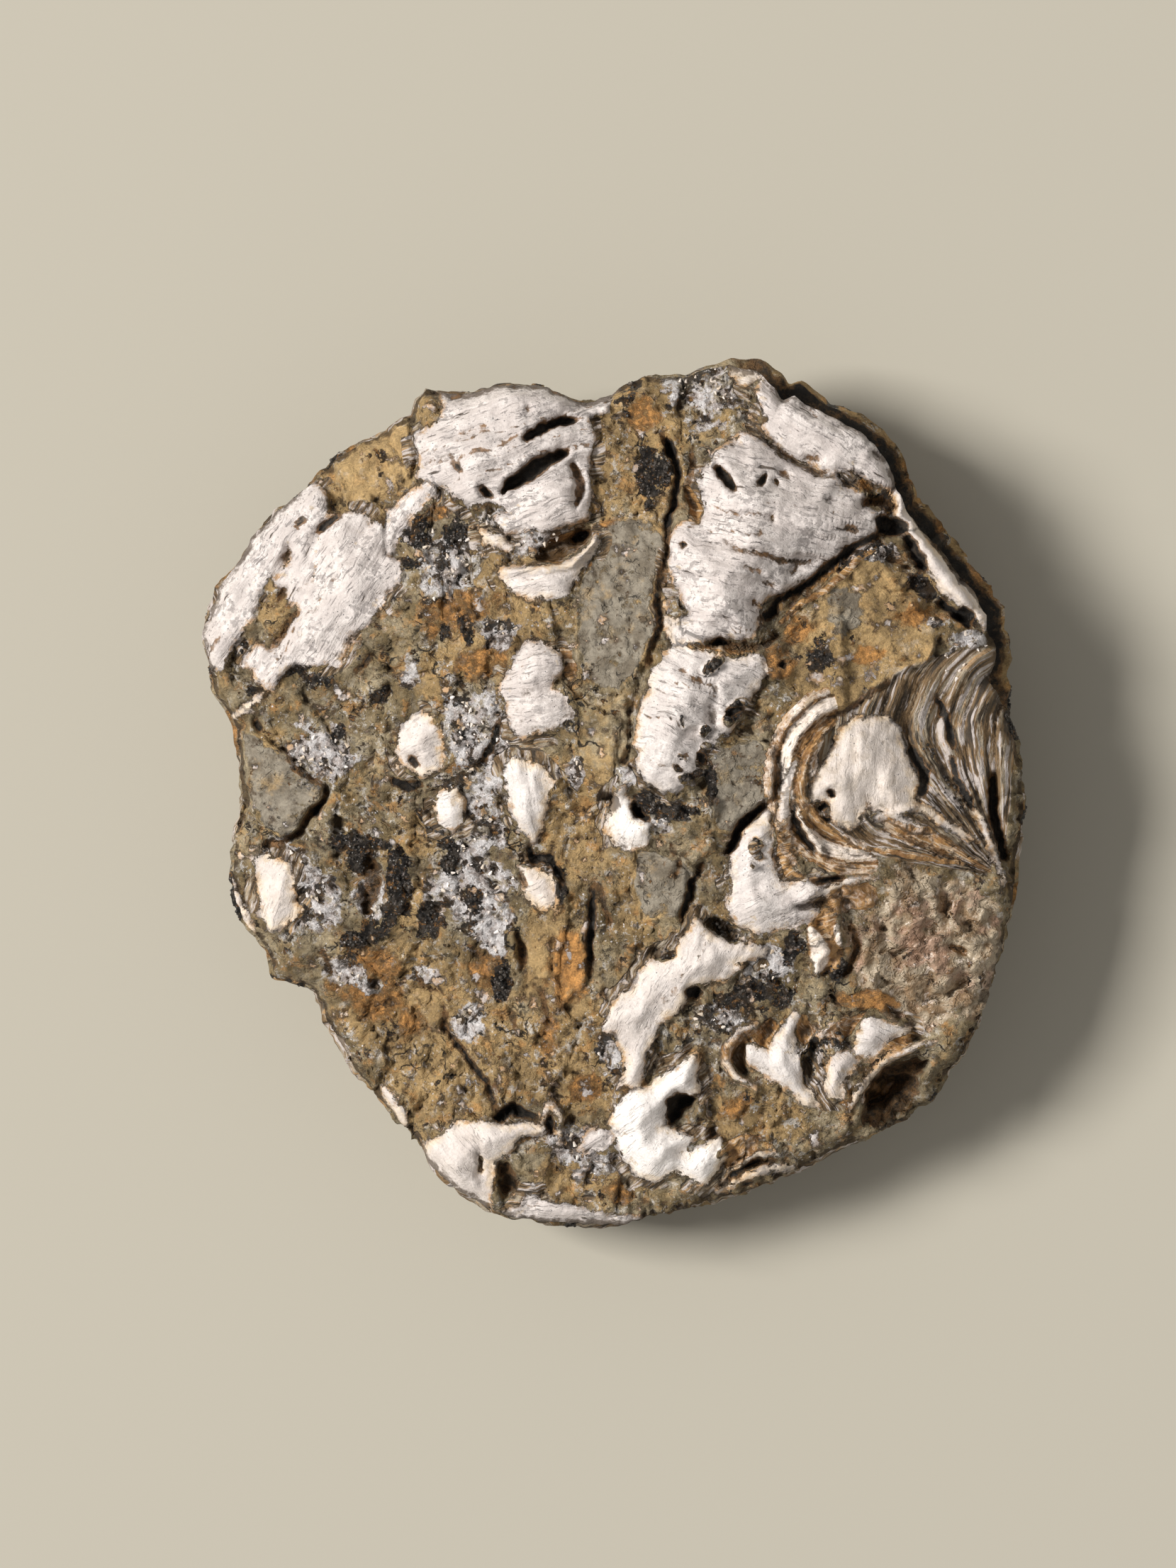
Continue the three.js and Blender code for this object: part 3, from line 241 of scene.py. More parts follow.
# Slots, pits, cracks and hollows: depth, half of the width, finish, and the way each runs. Black, brown and
# cave say how dark the painted shade and dirt at their bottoms are, and shell and stone add no finish.
HOLLOWS = [
    (1, 0.9, "brown", (-20.6, -5.4), (-20.2, -7.6), (-20.8, -10)),
    (2.2, 0.42, "black", (-7.4, 29.8), (-6, 30.6), (-4.8, 31.2), (-3.1, 31.5)),
    (2.6, 0.68, "black", (-9.2, 25.5), (-7.6, 26.6), (-6.3, 27.5), (-4.1, 28.6)),
    (1.3, 0.36, "black", (-11.2, 25.7), (-10.2, 24.8)),
    (0.8, 0.2, "brown", (-16.1, 27.6), (-15, 28), (-13.2, 28.5)),
    (0.8, 0.2, "black", (-13.7, 27.9), (-12.8, 27)),
    (1, 0.5, "brown", (-3.5, 27.6), (-2.7, 26.2), (-3.2, 24.2)),
    (0.6, 0.22, "brown", (-13.6, 30), (-11.8, 30.5), (-10.5, 30.8)),
    (0.6, 0.28, "brown", (-13.8, 33.3), (-12.4, 33.7)),
    (0.7, 0.2, "black", (-5.4, 34.1), (-3.2, 33.4)),
    (0.6, 0.25, "brown", (-7.6, 32.2), (-6.8, 32.4)),
    (0.5, 0.22, "brown", (-8.6, 34.1), (-8, 34.3)),
    (0.5, 0.22, "brown", (-7, 34.2), (-6.2, 34.2)),
    (0.3, 0.1, "brown", (-7.3, 31.1), (-5.2, 32.7)),
    (1.9, 1, "honey", (-6.3, 19.9), (-4.2, 20.7), (-2, 21.9)),
    (1.4, 0.5, "black", (-3.4, 21.2), (-2.2, 22)),
    (0.7, 0.24, "brown", (12, 30.5), (13.5, 29.6), (14.6, 28.5), (16, 27.5), (17.5, 27.1), (19.5, 27.2)),
    (0.9, 0.24, "brown", (15.9, 28.2), (17.7, 28.1)),
    (0.6, 0.15, "brown", (21.5, 28.3), (23, 28.2)),
    (1.9, 0.42, "black", (8.5, 27.4), (9.2, 26.6), (10.1, 25.4)),
    (1.2, 0.32, "black", (12.1, 26), (12.9, 26.5)),
    (0.8, 0.3, "honey", (13.4, 26), (13.8, 26)),
    (0.7, 0.25, "brown", (13.9, 27), (14.8, 26.4)),
    (1.2, 0.38, "black", (5.6, 20.8), (6, 20.8)),
    (1, 0.22, "black", (19.2, 22.4), (20.6, 22)),
    (0.7, 0.25, "honey", (13, 23.1), (13.4, 23.1)),
    (0.6, 0.22, "brown", (17.8, 24.6), (18.3, 24.6)),
    (0.7, 0.3, "brown", (12.2, 17.7), (13.6, 17.4)),
    (0.7, 0.25, "brown", (14.6, 18.5), (15.6, 18.9)),
    (0.9, 0.26, "brown", (9.2, 21.1), (10.4, 20.3), (12, 20), (14, 19.5), (16, 19.3), (18, 19.5)),
    (0.7, 0.3, "brown", (10.8, 18.9), (12.3, 18.4)),
    (0.9, 0.35, "black", (12, 14.6), (13.8, 15.3)),
    (0.6, 0.25, "brown", (11.5, 15.9), (12, 15.9)),
    (1.1, 0.3, "black", (12.8, 14.6), (14, 16.4), (16.3, 17.6), (18.6, 19.6), (20.6, 20.9), (22.6, 22.2)),
    (0.8, 0.25, "brown", (13.6, 14.4), (15.4, 16.4), (17.6, 17.4), (19.6, 19.4)),
    (1.2, 0.4, "brown", (8, 12.7), (10, 12.3), (12.6, 12.3), (13.8, 13.4)),
    (0.8, 0.3, "black", (8.2, 12.7), (9.4, 12.5)),
    (1.2, 0.55, "honey", (6.4, 25.6), (6.8, 24.2), (7.1, 22.8)),
    (1.6, 0.8, "black", (22.2, 23), (23.2, 22.5), (24.6, 22.4)),
    (1.4, 0.5, "brown", (20.9, 24.4), (22.4, 24.6), (23.8, 24)),
    (1.8, 0.45, "black", (24.7, 21.8), (25.4, 20.4), (26.2, 18.8)),
    (1.1, 0.35, "black", (27.4, 16.2), (28.8, 15.2), (30.2, 14)),
    (0.7, 0.3, "brown", (22.6, 19.9), (24, 19.3), (25.4, 18.6)),
    (1.4, 0.26, "black", (3.9, 30.3), (4.7, 28.9), (5.3, 27.5), (5.4, 26.2), (5.1, 24.3), (4.5, 22.5),
        (4.4, 20.2)),
    (1.2, 0.55, "black", (4.6, 29.6), (5, 28.2)),
    (1, 0.2, "black", (4.4, 20.4), (4.1, 18.3), (3.6, 17), (3.9, 14), (3, 12), (2.7, 10.2)),
    (0.9, 0.2, "brown", (2.7, 10.2), (1.8, 8), (1.2, 6.4), (1.3, 4), (0.6, 2.4)),
    (0.9, 0.16, "black", (6.5, 29.3), (6.8, 28), (6.1, 25)),
    (0.7, 0.15, "brown", (0.2, 20.6), (0.9, 19), (0.4, 17.6)),
    (0.8, 0.25, "brown", (5.3, 10.6), (6.2, 9.9), (7.3, 9.2), (8.4, 9)),
    (0.9, 0.3, "black", (9.4, 6.8), (10.7, 7.1)),
    (0.8, 0.3, "black", (7.1, 3.6), (7.5, 2.5)),
    (0.7, 0.2, "black", (5.9, 3.4), (6.1, 3.2)),
    (0.7, 0.2, "black", (5.2, 2.3), (5.5, 2.1)),
    (0.5, 0.5, "shell", (8.6, 9), (8.2, 6.6), (8, 5)),
    (1.4, 0.4, "black", (1.6, -1), (2.9, -2.2)),
    (0.9, 0.16, "black", (13.4, 5.3), (13.6, 1), (13.4, -0.3), (12.4, -1.2)),
    (2.2, 0.42, "black", (12.4, -1.2), (10.8, -2.4), (10.2, -4), (9.6, -5)),
    (1.5, 0.25, "black", (7.6, -6), (6.6, -7.5), (6.1, -9.5), (5.6, -10.8)),
    (0.8, 0.14, "black", (4.7, -4), (5.6, -6), (5, -7.5)),
    (1.7, 0.8, "crust", (7.9, -10.7), (9.2, -11.4), (10.2, -12.2)),
    (1.3, 0.26, "black", (16.8, -7.4), (19.5, -7)),
    (0.8, 0.4, "stone", (15.3, -9.6), (18.1, -9.3)),
    (1.3, 0.6, "black", (6.2, -16.7), (7.3, -16.8)),
    (1.3, 0.26, "black", (-1.5, -7.2), (-1.8, -10), (-1.9, -12), (-1.9, -15.8)),
    (0.9, 0.18, "black", (-1.1, -7.2), (-0.9, -9), (-0.2, -11.3)),
    (0.7, 0.15, "brown", (-9.3, 0.5), (-9.5, -2), (-9.8, -4), (-10, -7)),
    (0.7, 0.18, "black", (-8, -6.5), (-7.3, -7.9)),
    (0.9, 0.3, "black", (-7.1, -4.4), (-6.8, -5.6), (-5.5, -5.4), (-4.8, -6.2), (-4.2, -7.6)),
    (0.8, 0.22, "black", (-16.5, 3.3), (-16.3, 3.2)),
    (0.8, 0.3, "black", (-17.1, 3), (-16.4, 2.2)),
    (1, 0.22, "black", (-14.3, -18), (-14.2, -20), (-12.7, -21.8), (-11.8, -23.2), (-10.5, -24.8),
        (-10.1, -26.4), (-9.6, -27)),
    (0.7, 0.16, "black", (-6.6, -16), (-5.9, -17.2), (-5.5, -19.5)),
    (0.7, 0.16, "black", (-8.7, -18), (-8.2, -20.3)),
    (0.6, 0.14, "black", (-16.6, -14.6), (-16.5, -16), (-14, -17.2)),
    (0.6, 0.14, "black", (-9.8, -23.7), (-9.9, -25.5)),
    (0.8, 0.4, "brown", (-8.2, -11.6), (-7.6, -13.4), (-7.9, -15)),
    (1.8, 0.5, "black", (-9.9, -27.5), (-9.2, -27), (-8.4, -26.6), (-7.6, -27), (-6.6, -27.4)),
    (0.9, 0.3, "black", (-5.6, -27.2), (-5.2, -28.6)),
    (1.3, 0.9, "brown", (-9.6, -31.4), (-8.8, -32.6), (-9, -34)),
    (0.8, 0.2, "honey", (-11.3, -30.2), (-11.3, -32.5)),
    (1.3, 0.35, "brown", (-24.2, 0.7), (-24.5, -0.6), (-25.6, -1.6), (-26.5, -3.2), (-28.2, -4.3),
        (-29.4, -4.4)),
    (1, 0.3, "black", (-24.6, -0.7), (-25.4, -1.9)),
    (0.9, 0.3, "black", (-30.3, 6.3), (-29.8, 5.2)),
    (0.8, 0.18, "black", (-27.8, 3.5), (-27, 2.2), (-24.3, 0.6)),
    (0.7, 0.16, "brown", (-20.2, 5.8), (-20, 4), (-21, 1.5)),
    (0.7, 0.16, "black", (-24.7, -13), (-23.8, -15.3)),
    (0.7, 0.6, "crust", (-20.4, 7.6), (-18.9, 9)),
    (0.9, 0.2, "black", (-22, 10), (-20.2, 11.7)),
    (0.9, 0.35, "brown", (-28.9, 12.2), (-27.9, 13.4), (-27, 14.9), (-26.5, 15.7)),
    (0.6, 0.2, "brown", (-26.7, 17), (-25, 18.2)),
    (0.7, 0.3, "brown", (-27.9, 19.5), (-27.2, 20.8)),
    (0.9, 0.3, "black", (-24.9, 22), (-24.2, 22.8), (-23, 23.5)),
    (0.6, 0.22, "black", (-26.8, 22.2), (-26.5, 22.9), (-25.9, 23.2)),
    (0.8, 0.4, "brown", (-28.4, 16.2), (-27.8, 17.4)),
    (2, 0.8, "black", (4.9, -27.6), (5.2, -26.2), (6.6, -25.8)),
    (1, 0.4, "brown", (8.3, -28.3), (8.4, -29.2)),
    (3, 1.3, "cave", (21.8, -26.2), (23, -24.4), (26.2, -22.9)),
    (1.8, 1.7, "cave", (21.4, -27.6), (23.4, -26.4), (25.6, -24.4)),
    (1.1, 0.5, "honey", (10.8, -21.2), (10.6, -22.4), (11, -23.6)),
    (0.9, 0.7, "honey", (12.6, -20.7), (13.6, -19.2)),
    (1, 0.8, "honey", (16, -21), (16.4, -19.8)),
    (1.2, 0.5, "crust", (17, -20.9), (16.4, -22.5), (16.5, -24.5)),
    (1, 0.22, "black", (13.9, -31), (12, -31.3), (10.3, -32.3), (9, -33.4)),
    (0.9, 0.2, "black", (12, -33), (10.8, -33.3)),
    (1, 0.2, "brown", (19, 7), (17.3, 5.5), (16.2, 3.8), (15.4, 2.2), (14.9, -0.5)),
    (1.3, 0.26, "black", (14.9, -0.5), (15.2, -2.2), (16, -3.8), (16.9, -5.2)),
    (1.1, 0.35, "black", (18, -0.1), (18.4, 0.2)),
    (1.2, 0.45, "black", (17.3, -0.9), (17.5, -1.3)),
    (1.1, 0.35, "black", (18, -1.9), (18, -2.2)),
    (1, 0.16, "black", (18, 6.3), (20, 7.2), (21.7, 8.6), (22.8, 9.1), (23, 9.9)),
    (1, 0.4, "black", (13.9, 10.9), (14.3, 10.8)),
    (1.1, 0.6, "black", (28.9, 15.3), (30.2, 14.9)),
    (0.9, 0.25, "brown", (22, -3), (24, -3.4), (28, -5), (32, -7)),
    (2, 0.5, "black", (32, 1.5), (32, -1), (32.5, -3), (33, -5.5)),
    (0.5, 0.5, "black", (25, 3.9), (26.1, 1.8), (26, -0.2)),
    (0.4, 0.35, "black", (28.4, 3), (29.2, 0.8), (30.4, -1.4)),
    (0.4, 0.3, "black", (27, 8.4), (28.2, 6), (28.6, 3.8)),
    (0.7, 0.4, "brown", (28.3, -12.8), (29.8, -13.6)),
    (0.8, 0.4, "brown", (20, -10.6), (20.6, -13), (19.4, -15.6)),
    (0.9, 0.5, "crust", (3.2, -13.4), (5.1, -13.5)),
    (0.8, 0.25, "black", (-11, 2.6), (-10, 4.4), (-9.6, 6.4)),
    (0.8, 0.3, "black", (-18.8, 1.2), (-17.4, 0.6), (-16, 0.9)),
]

# Specks of black crust on the shell: middle, half widths, and any turn in degrees
SPECKS = [
    (12.1, -4.5, 0.5, 0.9, 10), (11.6, -6, 0.3, 0.4), (5.7, 3.3, 0.4, 0.4), (5.2, 2.1, 0.4, 0.45, 20),
    (6.5, 1.4, 1, 0.5, 20), (7.3, 3.2, 0.5, 0.9, -20), (7.6, 5.3, 0.35, 0.5), (5.9, 5.8, 0.3, 0.4),
    (10.1, 6.9, 1, 0.7, 30), (8.3, 10.7, 0.8, 0.5, 30),
]

# Soft patches of each finish on bare stone: middle, half widths, and any turn in degrees
PATCHES = {
    "drusy": [
        (-27, -8, 2.6, 4.4, 30), (-12.4, -2, 3, 6), (-11, -9, 2.6, 4.6), (-11.6, 5.6, 3.4, 4),
        (-24.4, 3.4, 3.2, 2.6), (-8, 22, 4.4, 2, -10), (-13.6, 20, 3, 2.4), (-22, -15.6, 2.6, 1.2, -20),
        (1, -21.8, 2.2, 3.4), (-3.6, -29.6, 2.8, 1.6), (8, 34, 3.4, 3, 20), (22, 20.6, 2.2, 1, -20),
        (28.6, 10.8, 2.4, 1.2, -30), (13, -14.6, 2.6, 1.2, 20), (-20.5, -8.4, 1.6, 2.4),
        (-15.8, -15.2, 1.4, 0.9), (8, 33.6, 2.6, 3, 20), (-7.2, 21.2, 2, 1), (-14, 19, 2, 2),
        (-15.2, 17.4, 1.3, 1.6), (-12, 6.6, 2.8, 2.8), (-17, 10, 0.8, 1.8), (-3.3, 1.7, 0.8, 1.6),
        (-9.6, 13.6, 1.6, 1.4), (0.9, 1.2, 1, 1), (3.6, -2.6, 1.6, 0.9), (30, 12.8, 1.8, 1.2),
        (27.2, 14.6, 0.9, 0.5), (23.4, 20.4, 0.8, 0.8), (-24.6, -8.8, 2, 3, 30), (-26, 2.4, 1.4, 0.8),
        (-23.4, 3, 1.8, 2), (-9.9, -12.2, 0.9, 2), (-12.2, -19.6, 1.5, 1.5), (-14, -8, 2.2, 2.2),
        (-11.6, -7.2, 1.4, 1.6), (0, -21.4, 1.4, 2), (-1.2, -31.4, 2.4, 1.2), (13.6, -13.6, 2.2, 1),
        (8.4, -19, 2.4, 1.5)],
    "honey": [
        (16.2, 0.6, 1, 4.4), (19, -4.4, 2.4, 0.9, -10), (12.4, -21, 3.6, 1.6, 20), (15.4, -19.8, 1.6, 1.6),
        (19.6, -19.6, 2.2, 0.8, 20), (24, -20.8, 2, 1, 20), (18.4, -24, 0.7, 2, 10), (17.6, -12.4, 1.7, 3),
        (20, -8.8, 2.6, 1.2, 10), (22.4, -25, 2, 1, 30), (14.6, -4.6, 1, 2.6), (26, -3.6, 4, 0.9, -18),
        (10.6, -30.4, 2.4, 1.2, 35), (-4.9, 20.2, 1.6, 0.8, 28), (-3.9, 10.8, 0.8, 1.4, 10)],
    "crust": [
        (17.2, -22.6, 1, 2.2, 10), (18.4, -20.6, 1.6, 0.9, 20), (-5.2, -6.4, 1.2, 0.9),
        (-4.4, -8.4, 0.7, 1), (2.6, 28, 0.9, 1.1, -30), (4, 27, 1.5, 1.4), (3, 25.2, 0.8, 1.2, 10),
        (0.9, 33.2, 1, 1, 40), (1.5, 34.6, 0.8, 1.2, -30), (-16.8, 22.4, 1.6, 2.2, 20),
        (-13.4, 21.8, 1.2, 1.6, -20), (-14, 13.2, 0.5, 0.8), (-12.2, 13.8, 0.7, 0.8),
        (-18.4, 15.8, 0.8, 1.3), (-17.2, 19.6, 1, 0.8), (3.2, -0.4, 1.6, 0.8), (4.8, -1.6, 2, 0.9),
        (10.1, 6.8, 0.8, 0.7), (7.4, 3.2, 0.4, 0.8), (8.2, 1, 0.6, 1.4), (17.2, 11.6, 1.3, 1.2),
        (23, 24.6, 1.6, 1, 20), (20.4, 20.2, 2.4, 0.8, 35), (26.2, 17.4, 1.6, 0.8, -40),
        (30.3, 15.2, 1, 0.8), (18.4, -0.8, 0.6, 1), (28.6, 0.6, 1.2, 2, 20), (26, 3.6, 0.8, 1.6),
        (11.6, -4.2, 0.6, 0.8), (-14.4, -4, 1.8, 0.7, -45), (-13.8, -5.6, 0.9, 1.5),
        (-11.8, -9.2, 0.9, 1.2), (-18, -7.4, 1.1, 3.8, 5), (-20, -11.4, 1.6, 1.1, 30),
        (-22, -12.4, 1.5, 0.8), (-23, -4.2, 1.5, 0.6), (-21.4, -5.4, 1.5, 1.2), (-23.1, 5.2, 0.6, 0.7, -40),
        (-27, 10.4, 1.4, 0.6, 20), (-30.1, 8.8, 1.2, 0.5, 20), (-34, 16.2, 0.9, 1.4),
        (-24.8, 9.6, 1.4, 0.9, 20), (-32, 12.4, 0.8, 1.6, 35), (-15.4, -11, 1.2, 1.6),
        (-9.6, -16.2, 0.8, 1.8), (0.6, -23.6, 0.7, 0.9), (-5, -28.2, 0.4, 1, 10), (12, -17.2, 3.4, 1.5, 10),
        (18.6, -14.8, 0.8, 1), (15.2, -13, 1.1, 1.4), (22.4, -22.8, 0.8, 0.6, 30)],
    "rust": [
        (19.9, -26.4, 1, 0.8), (-19.6, -8, 1, 1.6), (-20.6, -17, 3.4, 2.4, -20), (2.5, 31.8, 1.6, 1.8, 20),
        (6.6, 33.6, 1.6, 1), (-16.6, 22.9, 0.8, 0.9), (-14.8, 23.6, 1.2, 0.8), (-0.9, 22.3, 1, 0.5, 30),
        (-2.6, 19.6, 0.8, 1.2, -30), (-13, 15.4, 3, 2.2), (-15.2, 13.4, 0.7, 0.9), (-11, 11, 2.4, 1.6),
        (13.8, 10.8, 1.6, 1.6), (15.4, 13.6, 1.2, 1.4), (25.6, 14.8, 2.2, 1.1), (21.6, 11.8, 1.9, 0.9, 10),
        (20.4, 26.2, 1.8, 0.7, -15), (17, 18.2, 2.4, 0.7, 35), (16.2, 4.8, 0.8, 1.4, 20),
        (12, -4.8, 0.6, 0.9), (-3.7, -14.4, 1.9, 3.6, 5), (-5.4, -20, 1.2, 2.2), (-10.6, -14.6, 1.5, 2.4),
        (-20, -14.4, 3, 1.4, -20), (-17.2, -19.2, 1.6, 1.4), (-10.8, -2.2, 1.4, 1.6, 20),
        (-12.6, 2, 1.2, 1), (-27.6, 16.6, 0.6, 0.9), (-2.4, -25, 1.4, 1.4), (0.6, -33.8, 1.4, 0.9),
        (10.6, -26.4, 1.2, 1), (22, -17.6, 2.6, 0.9, -10), (19.4, -7.4, 0.9, 0.7),
        (20.4, -17, 1.8, 0.7, 15), (19.6, -24, 0.6, 2, 10)],
    "ochre": [
        (-3, -22, 4, 5), (-5, -14.2, 2.6, 4.6), (-13, -22, 6, 6), (2, 30, 3, 7), (4, 32.5, 3.8, 3.4),
        (-20.2, 28, 3.8, 3.4, 30), (3, 26, 1.6, 4), (-1, 28, 1.2, 5), (-14.6, 9.8, 2.4, 1.8),
        (-10, 16, 4.4, 5.4), (-0.6, 10.2, 1.6, 0.6), (2.4, 14, 0.8, 3), (22, 15, 5, 4, 20),
        (19.4, 26, 1.8, 0.8, -10), (17, 6.8, 2.4, 1.6, 20), (2.5, -8, 2, 3), (-3, -2, 3, 5),
        (-17, -18, 6, 5), (-16.5, -3.4, 1.6, 1.6), (-16.8, -9.2, 1.6, 1.6), (-29, 4.8, 0.9, 0.7),
        (-28.6, 15, 1.2, 3, 30), (-25, 25.4, 1.4, 0.8), (-3.4, -32.6, 3, 1.8), (12.4, -27.4, 3.4, 2),
        (9.6, -28.4, 2, 1.6)],
    "smooth": [(-5.6, -14, 2, 3.6)],
    "slate": [(19.4, 15.4, 1.6, 2.4)],
}

# Thin horny plates that spread from the worn hinge and curl round the hinge patch
HINGE = (33, -7.2)
FAN_FROM, FAN_TO = 84, 172  # degrees round the hinge
FAN_REACH = 21
FAN_PLATES = 8
FAN_BEND_FROM, FAN_BEND = 11, 0.3  # past this reach the plates bend back towards the crest
CURL_MIDDLE = (20.8, 1.4)
CURL_INNER, CURL_OUTER = 4.4, 8.6
CURL_FROM, CURL_TO = 100, 290  # degrees round its middle
CURL_BAND = 1.3  # width of each of its plates
CURL_PALENESS = (0.4, 0.95, 0.1, 0.55)  # how pale each band of the curl is, from the outermost in
SCALY_MIDDLE, SCALY_HALF = (26.5, -13), (7.5, 7)  # the flaky outer shell beside the hinge

# Levels
RIM_LEVEL = 14.2  # height of the broken face at its edge, on average
RIM_TILT, RIM_TILT_TOWARDS = 2.6, math.radians(62)  # it rises this far in this direction
DOME, DOME_FULLNESS = 7.2, 1.1  # how far the face swells above its edge, and the power that it curves with
BACK_RIM_LEVEL = 6.4  # height of the underside at its edge
CUP_SHARE, CUP_POWER = 0.56, 1.7  # flat up to this share of the way out, then curving up with this power
BACK_INSET = 2.2  # how far the underside stands back from the outline
EDGE_RADIUS = 33  # about how far the edge lies from the middle, for the lumps that run round it
EDGE_HEIGHT = 12  # stands for the height of the wall in the same lumps
EDGE_INSET = 0.5  # how far the face stands back from the outline
# The wall and shelf there are painted dark as shade.
CREST_RIGHT_INSET, CREST_RIGHT_TOWARDS = 1.5, math.radians(42)  # how much further by the dark wall
CROWN_REACH = 4.2  # how far in from its edge a lobe goes on rising
LOBE_GROWTH = 0.3  # how far each lobe reaches past its outline
# The painted shade and dirt at the bottom of each kind of hollow
DARKNESS = {"black": 1.5, "brown": 0.72, "cave": 0.7}  # how dark each kind of hollow is at its bottom

# Mesh
FACE_SQUARES = 250  # along each side of the face's sheet; the underside has half as many
EDGE_ROWS = 16  # rows of squares down the wall
RAYS = 2880  # directions in which the outline's reach is worked out
EVENED_RAYS = 80  # rays on each side that even out the outline towards the middle of the face
DIP_PASSES = 18  # the more passes, the wider the dips that are painted with dirt and shade

# What is known of each place: its finishes, how creamy the shell is, how smooth the stone, how dark a
# hollow is painted with shade and dirt, and how deep a dip, where dirt and shade are painted too
FINISHES = (
    "shell", "cream", "slate", "ochre", "rust", "crust", "drusy", "honey", "horn", "scale", "smooth",
    "hollow", "dip")


# ---- Shape arithmetic

def eased(value, low, high):
    """0 up to low, 1 from high on, and a smooth turn between them."""
    share = np.clip((value - low) / (high - low), 0, 1)
    return share * share * (3 - 2 * share)


def mixed(low, high, share):
    return low + (high - low) * share


def hashed(cell, salt):
    """A repeatable whole number for each cell of a grid."""
    number = (cell * (374761393, 668265263, 2147483629)).sum(axis=-1) + salt * 974634777
    number = (number ^ (number >> 13)) * 1274126177
    return (number ^ (number >> 16)) & 0x3FFFFFFF


def lumps(places, size, salt):
    """Smooth bumps as wide as size, from about -1 to 1, at each place."""
    grid = places / size
    cell = np.floor(grid).astype(np.int64)
    offset = grid - cell
    weight = offset**3 * (offset * (offset * 6 - 15) + 10)
    total = np.zeros(len(places))
    for corner in itertools.product((0, 1), repeat=3):
        number = hashed(cell + corner, salt)
        slope = np.stack([(number >> shift & 1023) / 511.5 - 1 for shift in (0, 10, 20)], axis=1)
        share = np.where(corner, weight, 1 - weight).prod(axis=1)
        total += (slope * (offset - corner)).sum(axis=1) * share
    return 1.7 * total


def flags(places, size, salt):
    """Irregular flat cells. Gives each place's offset from its cell's middle, the cell's number from 0 to 1
    and the room to the next cell. Offset and room are in cell sizes."""
    grid = places[:, :2] / size
    base = np.floor(grid).astype(np.int64)
    nearest = np.full(len(places), 9.0)
    second = nearest.copy()
    offset = np.zeros_like(grid)
    number = np.zeros(len(places))
    for step in itertools.product((-1, 0, 1), repeat=2):
        cell = base + step
        code = hashed(np.column_stack([cell, np.zeros(len(cell), np.int64)]), salt)
        middle = cell + np.column_stack([code & 1023, code >> 10 & 1023]) / 1023
        away = grid - middle
        distance = np.hypot(*away.T)
        closer = distance < nearest
        second = np.where(closer, nearest, np.minimum(second, distance))
        nearest = np.where(closer, distance, nearest)
        offset = np.where(closer[:, None], away, offset)
        number = np.where(closer, (code >> 20 & 1023) / 1023, number)
    return offset, number, second - nearest


def along_way(x, y, way):
    """Distance to the nearest piece of a way, and how far along the way that is, from 0 to 1."""
    nearest = np.full(x.shape, np.inf)
    along = np.zeros(x.shape)
    pieces = len(way) - 1
    for i in range(pieces):
        (ax, ay), (bx, by) = way[i], way[i + 1]
        dx, dy = bx - ax, by - ay
        share = np.clip(((x - ax) * dx + (y - ay) * dy) / (dx * dx + dy * dy), 0, 1)
        distance = np.hypot(x - ax - share * dx, y - ay - share * dy)
        along = np.where(distance < nearest, (i + share) / pieces, along)
        nearest = np.minimum(nearest, distance)
    return nearest, along


def inside_by(x, y, outline):
    """Distance to a closed outline, positive inside it."""
    inside = np.zeros(x.shape, bool)
    for (ax, ay), (bx, by) in zip(outline, outline[1:] + outline[:1]):
        if ay != by:
            inside ^= ((ay > y) != (by > y)) & (x < ax + (y - ay) * (bx - ax) / (by - ay))
    distance, _ = along_way(x, y, outline + outline[:1])
    return np.where(inside, distance, -distance)


def near(x, y, points, room):
    """Which places lie in the points' box, widened by room."""
    low = np.min(points, axis=0) - room
    high = np.max(points, axis=0) + room
    return np.flatnonzero((x > low[0]) & (x < high[0]) & (y > low[1]) & (y < high[1]))


def terraced(value):
    """Steps that break off sharply, as thin layers of stone do."""
    return np.floor(value) + eased(value % 1, 0, 0.22)


def plate_step(position):
    """Each shell plate rises slowly from 0 to 1 and breaks off at its edge."""
    within = position % 1
    return within * eased(1 - within, 0, 0.2)


class Outline:
    """Reach of the lump's outline at any angle, full and evened out."""

    def __init__(self):
        self.angles = np.linspace(-np.pi, np.pi, RAYS, endpoint=False)
        dx, dy = np.cos(self.angles)[:, None], np.sin(self.angles)[:, None]
        start = np.array(OUTLINE, float)
        edge = np.roll(start, -1, axis=0) - start
        with np.errstate(divide="ignore", invalid="ignore"):
            side = dx * edge[:, 1] - dy * edge[:, 0]
            reach = (start[:, 0] * edge[:, 1] - start[:, 1] * edge[:, 0]) / side
            share = (dy * start[:, 0] - dx * start[:, 1]) / side
        hit = (reach > 0) & (share >= 0) & (share <= 1)
        self.full = np.where(hit, reach, 0).max(axis=1)
        spread = np.hanning(2 * EVENED_RAYS + 1)
        wrapped = np.concatenate([self.full[-EVENED_RAYS:], self.full, self.full[:EVENED_RAYS]])
        self.even = np.convolve(wrapped, spread / spread.sum(), "valid")

    def at(self, angle):
        ring = EDGE_RADIUS * np.stack([np.cos(angle), np.sin(angle), np.zeros_like(angle)], axis=1)
        full = np.interp(angle, self.angles, self.full, period=2 * np.pi)
        return full + 0.16 * lumps(ring, 1.3, 71) + 0.1 * lumps(ring, 0.6, 72)

    def evened(self, angle):
        return np.interp(angle, self.angles, self.even, period=2 * np.pi)


def crest_right(angle):
    """1 where the broken face stands back from the outline and leaves a wall and shelf, which are painted
    dark as shade.
    """
    return eased(np.cos(angle - CREST_RIGHT_TOWARDS), 0.8, 0.93)


def rim_inset(angle):
    return EDGE_INSET + CREST_RIGHT_INSET * crest_right(angle)


